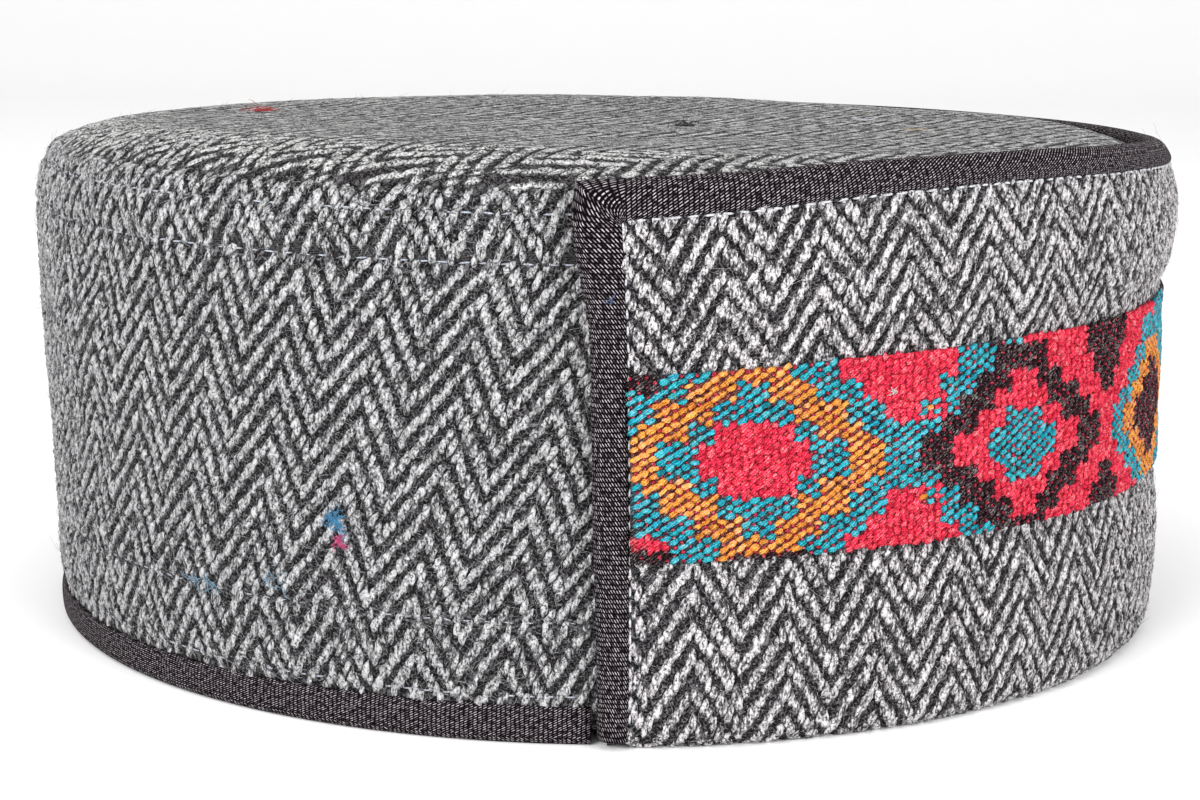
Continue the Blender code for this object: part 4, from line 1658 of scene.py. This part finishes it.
@dataclass
class WovenBorder:
    """The colourful strip across the flap, and the chart that colours its stitches.

    Attributes:
        rows: How many rows of stitches it has.
        column: The width of a column of stitches.
        middle_row: The height of its middle row.
        end_height: The height at which it meets the end tapes' sewn edges.
        first_medallion: How far the first medallion's middle lies from the cap's right side.
        spacing: The length from one medallion to the next.
        slant: How far the pattern leans for each millimetre down.
        climb: How far it climbs for each millimetre along.
        ply_angle: How steeply the plies climb round a yarn, in degrees.
        ply_pitch: The distance from one ply to the next.
        red_loose: How far the stitches stray in the red, where they are felted.
        loose: How far they stray elsewhere.
        warp_red: The colour of most warp ends.
        warp_dark: The colour of the rest.
        medallions: The medallions' rings, by turns.
        fields: The colour to the right of each.
        teeth: The teeth there.
    """

    rows: int = 40
    column: float = 1.15
    middle_row: float = 41.7
    end_height: float = 40.0
    first_medallion: float = 21.8
    spacing: float = 45.3
    slant: float = 0.08
    climb: float = 0.03
    ply_angle: float = 40.0
    ply_pitch: float = 0.42
    red_loose: float = 0.20
    loose: float = 0.08
    warp_red: Colour = (0.55, 0.03, 0.07)
    warp_dark: Colour = (0.10, 0.01, 0.03)
    medallions: tuple = (SUN, NIGHT, SEA)
    fields: tuple = (Yarn.TURQUOISE, Yarn.RED, Yarn.TURQUOISE)
    teeth: tuple = (
        Ring(Yarn.RED, ((11.0, 9.6), (8.3, 6.3), (5.0, 3.1))),
        Ring(Yarn.MAROON, ((12.0, 6.8), (8.5, 4.9), (5.6, 1.9))),
        Ring(Yarn.MAROON, ((12.0, 6.8), (8.5, 4.9), (5.6, 1.9))),
    )

    def edges(self, length: Array) -> tuple[Array, Array]:
        """The border's lower and upper edge at a length from the cap's right side."""
        from_side = np.minimum(length, CAP.half_round - length)
        steps = column(CAP.border_rows, 0)
        low = eased(from_side, steps, column(CAP.border_rows, 1), 6.0)
        return low, eased(from_side, steps, column(CAP.border_rows, 2), 6.0)

    def at(self, length: Array, share: Array) -> Array:
        """Points on the border's outer face, share millimetres above its lower edge."""
        low, high = self.edges(length)
        level = share / (high - low)
        pillow = 0.40 * (np.abs(2.0 * level - 1.0) ** 14)
        return CAP.flap_at(length, low + share, CAP.gap + CAP.border_cloth - pillow)

    def chart(self, length: Array, height: Array) -> Array:
        """The colour of each place, as a number of the colours' order.

        Medallions stand at an even spacing, each with the field to its right, and stepped teeth point
        in from both edges halfway between them.

        Args:
            length: The length from the cap's right side.
            height: The height above the rim.

        Returns:
            A number for each place.
        """
        along = length + self.slant * (height - self.middle_row) - self.first_medallion
        rise = height - self.middle_row + self.climb * along
        from_edge = np.abs(rise)
        gap = np.floor(along / self.spacing)
        colour = np.zeros(along.shape, dtype=int)
        for index, (field_yarn, tooth) in enumerate(zip(self.fields, self.teeth)):
            here = gap % 3 == index
            colour = np.where(here, YARNS.index(field_yarn), colour)
            from_tooth = np.abs(along - (gap + 0.5) * self.spacing)
            reach = np.zeros(along.shape)
            for start, half_width in reversed(tooth.steps):
                reach = np.where(from_edge > start, half_width, reach)
            colour = np.where(here & (from_tooth < reach), YARNS.index(tooth.yarn), colour)
        for tail in TAILS:
            colour = np.where(tail.covers(along, from_edge), YARNS.index(tail.yarn), colour)
        for index, rings in enumerate(self.medallions):
            from_middle = along - np.round(along / self.spacing) * self.spacing
            here = np.round(along / self.spacing) % 3 == index
            for ring in rings:
                colour = np.where(here & ring.covers(from_middle, rise), YARNS.index(ring.yarn), colour)
        for corner in CORNERS:
            colour = np.where(corner.covers(along, rise), YARNS.index(corner.yarn), colour)
        return colour

    def build(self) -> None:
        """Makes the band, and the stitches and warp dots on it."""
        share = np.linspace(0.0, 1.0, 250)[None, :]
        level = np.linspace(0.0, 1.0, 34)[:, None]
        edge = CAP.end_edge(np.array(self.end_height), 2) + CAP.gap
        length = edge + (CAP.half_round - 2.0 * edge) * share + 0.0 * level
        low, high = self.edges(length)
        outer = self.at(length, level * (high - low))
        inner = CAP.flap_at(length, low + level * (high - low), CAP.gap * 0.5)
        draft = shell(outer, inner, np.stack((length, level * 28.0 + 0.0 * length), axis=-1))
        yarn = self.chart(length, low + level * (high - low)).ravel()
        # The band takes the painted shade that shows between the stitches.
        draft.colours = np.tile(SHADED_GROUND[yarn], (2, 1))
        draft.values["tone"] = np.full(len(draft.points), 0.6)
        self._twist(draft)
        band = draft.build("border_cloth", DyedWool("border_ground").make(), "woven_border")
        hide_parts("woven_border")
        self._stitches(float(edge))

    def _stitches(self, edge: float) -> None:
        """Lays pattern stitches and warp dots like a plain weave's: by turns, one up and one down."""
        draw = np.random.default_rng(51)
        count = int((CAP.half_round - 2.0 * edge) / self.column)
        index, row = (part.ravel() for part in np.meshgrid(np.arange(count), np.arange(self.rows)))
        low, high = self.edges(edge + (index + 0.5) * self.column)
        share = (row + 0.5) / self.rows * (high - low)
        lean = -self.slant * (low + share - self.middle_row)
        length = edge + (index + 0.5) * (CAP.half_round - 2.0 * edge) / count + lean
        keep = (length > edge - 0.4) & (length < CAP.half_round - edge + 0.4)
        index, row, length, share, height = (part[keep] for part in (index, row, length, share, low + share))
        colour = self.chart(length, height)
        weft = (index + row) % 2 == 0
        self._lay_weft(draw, length[weft], share[weft], colour[weft])
        self._lay_warp(draw, length[~weft], share[~weft], colour[~weft])

    def _strayed(
        self, draw: np.random.Generator, length: Array, share: Array, in_red: Array
    ) -> tuple[Array, Array]:
        """Places moved a little, at random."""
        loose = np.where(in_red, self.red_loose, self.loose)
        return length + draw.normal(0.0, loose), share + draw.normal(0.0, loose * 0.7)

    def _lay_weft(self, draw: np.random.Generator, length: Array, share: Array, colour: Array) -> None:
        """Lays the pattern stitches, which lie more loosely in the red."""
        number = len(length)
        in_red = colour == YARNS.index(Yarn.RED)
        spot = self._strayed(draw, length, share, in_red)
        slant = np.where(in_red, draw.normal(-50.0, 22.0, number), draw.normal(-64.0, 10.0, number))
        places = frames_on(self.at, *spot).turned(slant)
        half = np.where(in_red, draw.normal(0.92, 0.12, number), draw.normal(0.97, 0.12, number))
        thick = np.where(in_red, draw.normal(0.42, 0.07, number), draw.normal(0.42, 0.05, number))
        tone = draw.normal(0.64, 0.15, number)
        draft = Pod(rings=3, sides=4, fullness=0.5, shaded_end_tone=0.5).many(places, half, thick, 0.32, 0.14, tone)
        draft.points += draw.normal(0.0, 0.075, draft.points.shape)
        shift = 1.0 + draw.normal(0.0, 0.07, (number, 1)) + draw.normal(0.0, 0.03, (number, 3))
        self._dye(draft, PALETTE[colour] * shift)
        draft.build("border_stitches", DyedWool("border_wool").make(), "woven_border")

    def _lay_warp(self, draw: np.random.Generator, length: Array, share: Array, colour: Array) -> None:
        """Lays the warp's dots, red or dark, and longer red ones in the red."""
        number = len(length)
        in_red = colour == YARNS.index(Yarn.RED)
        spot = self._strayed(draw, length, share, in_red)
        places = frames_on(self.at, *spot).turned(draw.normal(-35.0, 28.0, number))
        long, short = draw.normal(0.85, 0.10, number), draw.normal(0.42, 0.10, number)
        half = np.where(in_red, long, short.clip(0.15, 0.65))
        thick = np.where(in_red, 0.45, draw.normal(0.30, 0.07, number).clip(0.12, 0.45))
        tone = draw.normal(0.55, 0.16, number)
        draft = Pod(rings=1, sides=4, fullness=0.4, shaded_end_tone=0.5).many(places, half, thick, 0.26, 0.18, tone)
        warp = np.where(draw.random(number)[:, None] < 0.75, self.warp_red, self.warp_dark)
        self._dye(draft, np.where(in_red[:, None], PALETTE[YARNS.index(Yarn.RED)], warp))
        draft.build("border_warp", DyedWool("border_warp_wool").make(), "woven_border")

    def _twist(self, draft: MeshDraft) -> None:
        """Counts the yarn's turns at each vertex, along lines that climb at the ply's angle."""
        length = np.arctan2(CAP.shift - draft.points[:, 1], -draft.points[:, 0]) * CAP.flap_radius
        angle = math.radians(self.ply_angle)
        across = draft.points[:, 2] * math.cos(angle) - length * math.sin(angle)
        draft.values["ply"] = across / self.ply_pitch

    def _dye(self, draft: MeshDraft, colours: Array) -> None:
        """Gives every vertex of each thread that thread's colour."""
        self._twist(draft)
        draft.colours = np.repeat(colours.clip(0.0, 1.0), len(draft.points) // len(colours), axis=0)


@dataclass
class Sewing:
    """The pale stitches that show along the tape's sewn edge and in rows round the wall.

    Attributes:
        edge_row: The stitches along the tape.
        wall_row: The stitches round the wall.
    """

    edge_row: StitchRow = StitchRow(1.8, 0.30, 0.5, 0.45)
    wall_row: StitchRow = StitchRow(2.1, 0.24, 0.9, 0.10)

    def build(self, wall: SideWall) -> None:
        """Makes the stitches."""
        height = np.linspace(3.0, 74.5, 200)
        right = np.stack((CAP.end_edge(height, 2) + 0.15, height), axis=-1)
        bearing = np.linspace(2.2, 177.8, 500)
        top = np.stack((np.radians(bearing) * CAP.flap_radius, CAP.top_line(bearing, 1) - 0.25), axis=-1)
        left = np.stack((CAP.half_round - right[:, 0], height), axis=-1)
        thread = PlainWool("sewing_thread", (0.66, 0.67, 0.71)).make()
        for seed, (name, path) in enumerate((("right", right), ("top", top), ("left", left)), start=61):
            self.edge_row.mesh(CAP.flap_at, path, seed).build(f"{name}_stitches", thread, "tweed")
        length = np.linspace(CAP.half_round + 1.5, WHOLE_ROUND - 1.5, 400)
        grey = PlainWool("wall_thread", (0.50, 0.54, 0.62)).make()
        for index, row in enumerate(wall.stitched):
            path = np.stack((length, np.full(len(length), row)), axis=-1)
            self.wall_row.mesh(wall.at, path, 64 + index).build(f"wall_stitches_{index + 1}", grey, "tweed")


@dataclass(frozen=True)
class Nep:
    """A knot of stray coloured fibres caught in the cloth.

    Attributes:
        name: Its piece's name.
        surface: The cloth that it lies on.
        first: Its first length there.
        second: Its second length there.
        spread: How far its fibres' roots lie from its middle.
        count: How many fibres it has.
        colour: Its colour.
        slot: The material slot of the cloth.
        lift: How steeply its fibres rise.
        longest: The longest fibre's length.
    """

    name: str
    surface: Surface
    first: float
    second: float
    spread: float
    count: int
    colour: Colour
    slot: str = "tweed"
    lift: float = 0.55
    longest: float = 2.4

    def build(self, seed: int) -> None:
        """Makes the knot from curled fibres whose roots are drawn about its middle."""
        draw = np.random.default_rng(seed)
        first = self.first + draw.normal(0.0, self.spread, self.count)
        second = self.second + draw.normal(0.0, self.spread, self.count)
        fibres = Hairs(self.count, self.longest, seed, 0.085, 4, 0.4, self.lift, 0.1)
        wool = PlainWool(self.name, self.colour).make()
        fibres.mesh(self.surface, first, second).build(self.name, wool, self.slot)


def build_neps(wall: SideWall, crown: Crown) -> None:
    """Puts the few coloured fibres where they lie on the cap."""

    def on_tape(length: Array, height: Array) -> Array:
        """The flap's face lifted to the tape's."""
        return CAP.flap_at(length, height, CAP.gap + CAP.tape)

    def on_border(length: Array, height: Array) -> Array:
        """The flap's face lifted to the border's."""
        return CAP.flap_at(length, height, CAP.gap + CAP.border_cloth)

    neps = (
        Nep("nep_blue", wall.at, WHOLE_ROUND - 39.0, 30.6, 0.75, 110, (0.07, 0.32, 0.58)),
        Nep("nep_pink", wall.at, WHOLE_ROUND - 38.2, 27.7, 0.45, 50, (0.75, 0.10, 0.28)),
        Nep("nep_pale_blue_1", wall.at, WHOLE_ROUND - 66.0, 18.4, 0.7, 26, (0.26, 0.42, 0.55)),
        Nep("nep_pale_blue_2", wall.at, WHOLE_ROUND - 62.5, 18.0, 0.7, 26, (0.26, 0.42, 0.55)),
        Nep("nep_pale_blue_3", wall.at, WHOLE_ROUND - 50.0, 20.6, 0.8, 26, (0.26, 0.42, 0.55)),
        Nep("nep_tape", on_tape, 1.6, 64.0, 0.30, 10, (0.08, 0.14, 0.30), "black_tape", longest=1.2),
        Nep("nep_border", on_border, 42.0, 50.2, 0.28, 18, (0.85, 0.80, 0.80), "woven_border", longest=1.1),
        Nep("nep_red", crown.at_level, 5.4, 59.6, 1.1, 80, (0.50, 0.03, 0.03), lift=1.6),
        Nep("nep_dark", crown.at_level, -20.0, -12.5, 0.9, 90, (0.008, 0.008, 0.008), lift=1.6),
        Nep("nep_pale", crown.at_level, 3.6, -43.9, 0.5, 26, (0.55, 0.57, 0.65)),
        Nep("nep_straw", crown.at_level, -16.3, -50.4, 0.9, 30, (0.50, 0.42, 0.28)),
    )
    for index, nep in enumerate(neps):
        nep.build(81 + index)


# Stage, light and camera


@dataclass(frozen=True)
class Studio:
    """The pale floor, the soft lights and the camera, in metres and degrees.

    Attributes:
        camera_place: Where the camera stands.
        pitch: How far it looks down.
        roll: How far it is turned about its line of sight.
        lens: Its focal length in millimetres.
        sky: The sky's strength.
        lit_place: Where the lights point.
    """

    camera_place: tuple = (-0.41944, 0.00082, 0.11354)
    pitch: float = 10.99
    roll: float = 0.499
    lens: float = 73.67
    sky: float = 0.78
    lit_place: tuple = (0.0, 0.0, 0.04)

    def build(self) -> None:
        """Sets the stage."""
        self._floor()
        self._lights()
        self._camera()
        view = bpy.context.scene.view_settings
        view.view_transform = "Standard"
        view.look = "None"
        view.exposure = 0.0

    def _floor(self) -> None:
        """A pale sheet that runs from the floor up behind the cap in one wide bend.

        Its line is level to 1.2 m behind the cap, a quarter circle of 0.5 m, and then upright.
        """
        turn = np.linspace(0.0, math.pi / 2.0, 17)
        depth = np.concatenate(((-3.0,), 1.2 + 0.5 * np.sin(turn), (1.7,)))
        height = np.concatenate(((0.0,), 0.5 * (1.0 - np.cos(turn)), (3.0,)))
        side = np.array((-3.0, 3.0))
        points = np.stack((np.repeat(depth, 2), np.tile(side, len(depth)), np.repeat(height, 2)), axis=-1)
        start = 2 * np.arange(len(depth) - 1)
        faces = np.stack((start, start + 2, start + 3, start + 1), axis=-1)
        mesh = bpy.data.meshes.new("floor")
        mesh.from_pydata(points.tolist(), [], faces.tolist())
        mesh.shade_smooth()
        paint = Paint("pale_paper")
        colour = paint.mix(paint.noise(40.0), (0.95, 0.95, 0.95), (0.97, 0.97, 0.97))
        mesh.materials.append(paint.finish(colour, 0.7))
        floor = bpy.data.objects.new("floor", mesh)
        bpy.context.scene.collection.objects.link(floor)

    def _lights(self) -> None:
        """Three soft lights, one overhead and one to each side of the camera, and an even sky."""
        world = bpy.data.worlds.new("studio_sky")
        bpy.context.scene.world = world
        world.use_nodes = True
        sky = world.node_tree.nodes["Background"].inputs
        sky[0].default_value = (1.0, 1.0, 1.0, 1.0)
        sky[1].default_value = self.sky
        for name, place, size, power in (
            ("overhead", (-0.15, 0.1, 1.1), 1.0, 3.0),
            ("front_left", (-0.9, 0.6, 0.55), 0.6, 9.0),
            ("front_right", (-0.8, -0.7, 0.45), 0.6, 7.2),
        ):
            data = bpy.data.lights.new(name, "AREA")
            data.shape = "DISK"
            data.size = size
            data.energy = power
            lamp = bpy.data.objects.new(name, data)
            lamp.location = place
            toward = Vector(self.lit_place) - Vector(place)
            lamp.rotation_euler = toward.to_track_quat("-Z", "Y").to_euler()
            bpy.context.scene.collection.objects.link(lamp)

    def _camera(self) -> None:
        """The camera, which looks along +X and down, and is turned a little about its own line of sight."""
        pitch = math.radians(self.pitch)
        forward = Vector((math.cos(pitch), 0.0, -math.sin(pitch)))
        right = Vector((0.0, -1.0, 0.0))
        up = right.cross(forward)
        turn = Matrix((right, up, -forward)).transposed() @ Matrix.Rotation(math.radians(self.roll), 3, "Z")
        data = bpy.data.cameras.new("camera")
        data.lens = self.lens
        data.sensor_width = 36.0
        camera = bpy.data.objects.new("camera", data)
        camera.matrix_world = Matrix.Translation(self.camera_place) @ turn.to_4x4()
        bpy.context.scene.collection.objects.link(camera)
        bpy.context.scene.camera = camera


def main() -> None:
    """Builds the cap round its frame, piece by piece."""
    logging.basicConfig(level=logging.INFO, format="%(name)s %(message)s")
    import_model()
    wall = SideWall()
    LowerTape().build()
    wall.build()
    Flap().build()
    crown = Crown()
    crown.build()
    FlapTape().build()
    WovenBorder().build()
    Sewing().build(wall)
    build_neps(wall, crown)
    Studio().build()


if __name__ == "__main__":
    main()
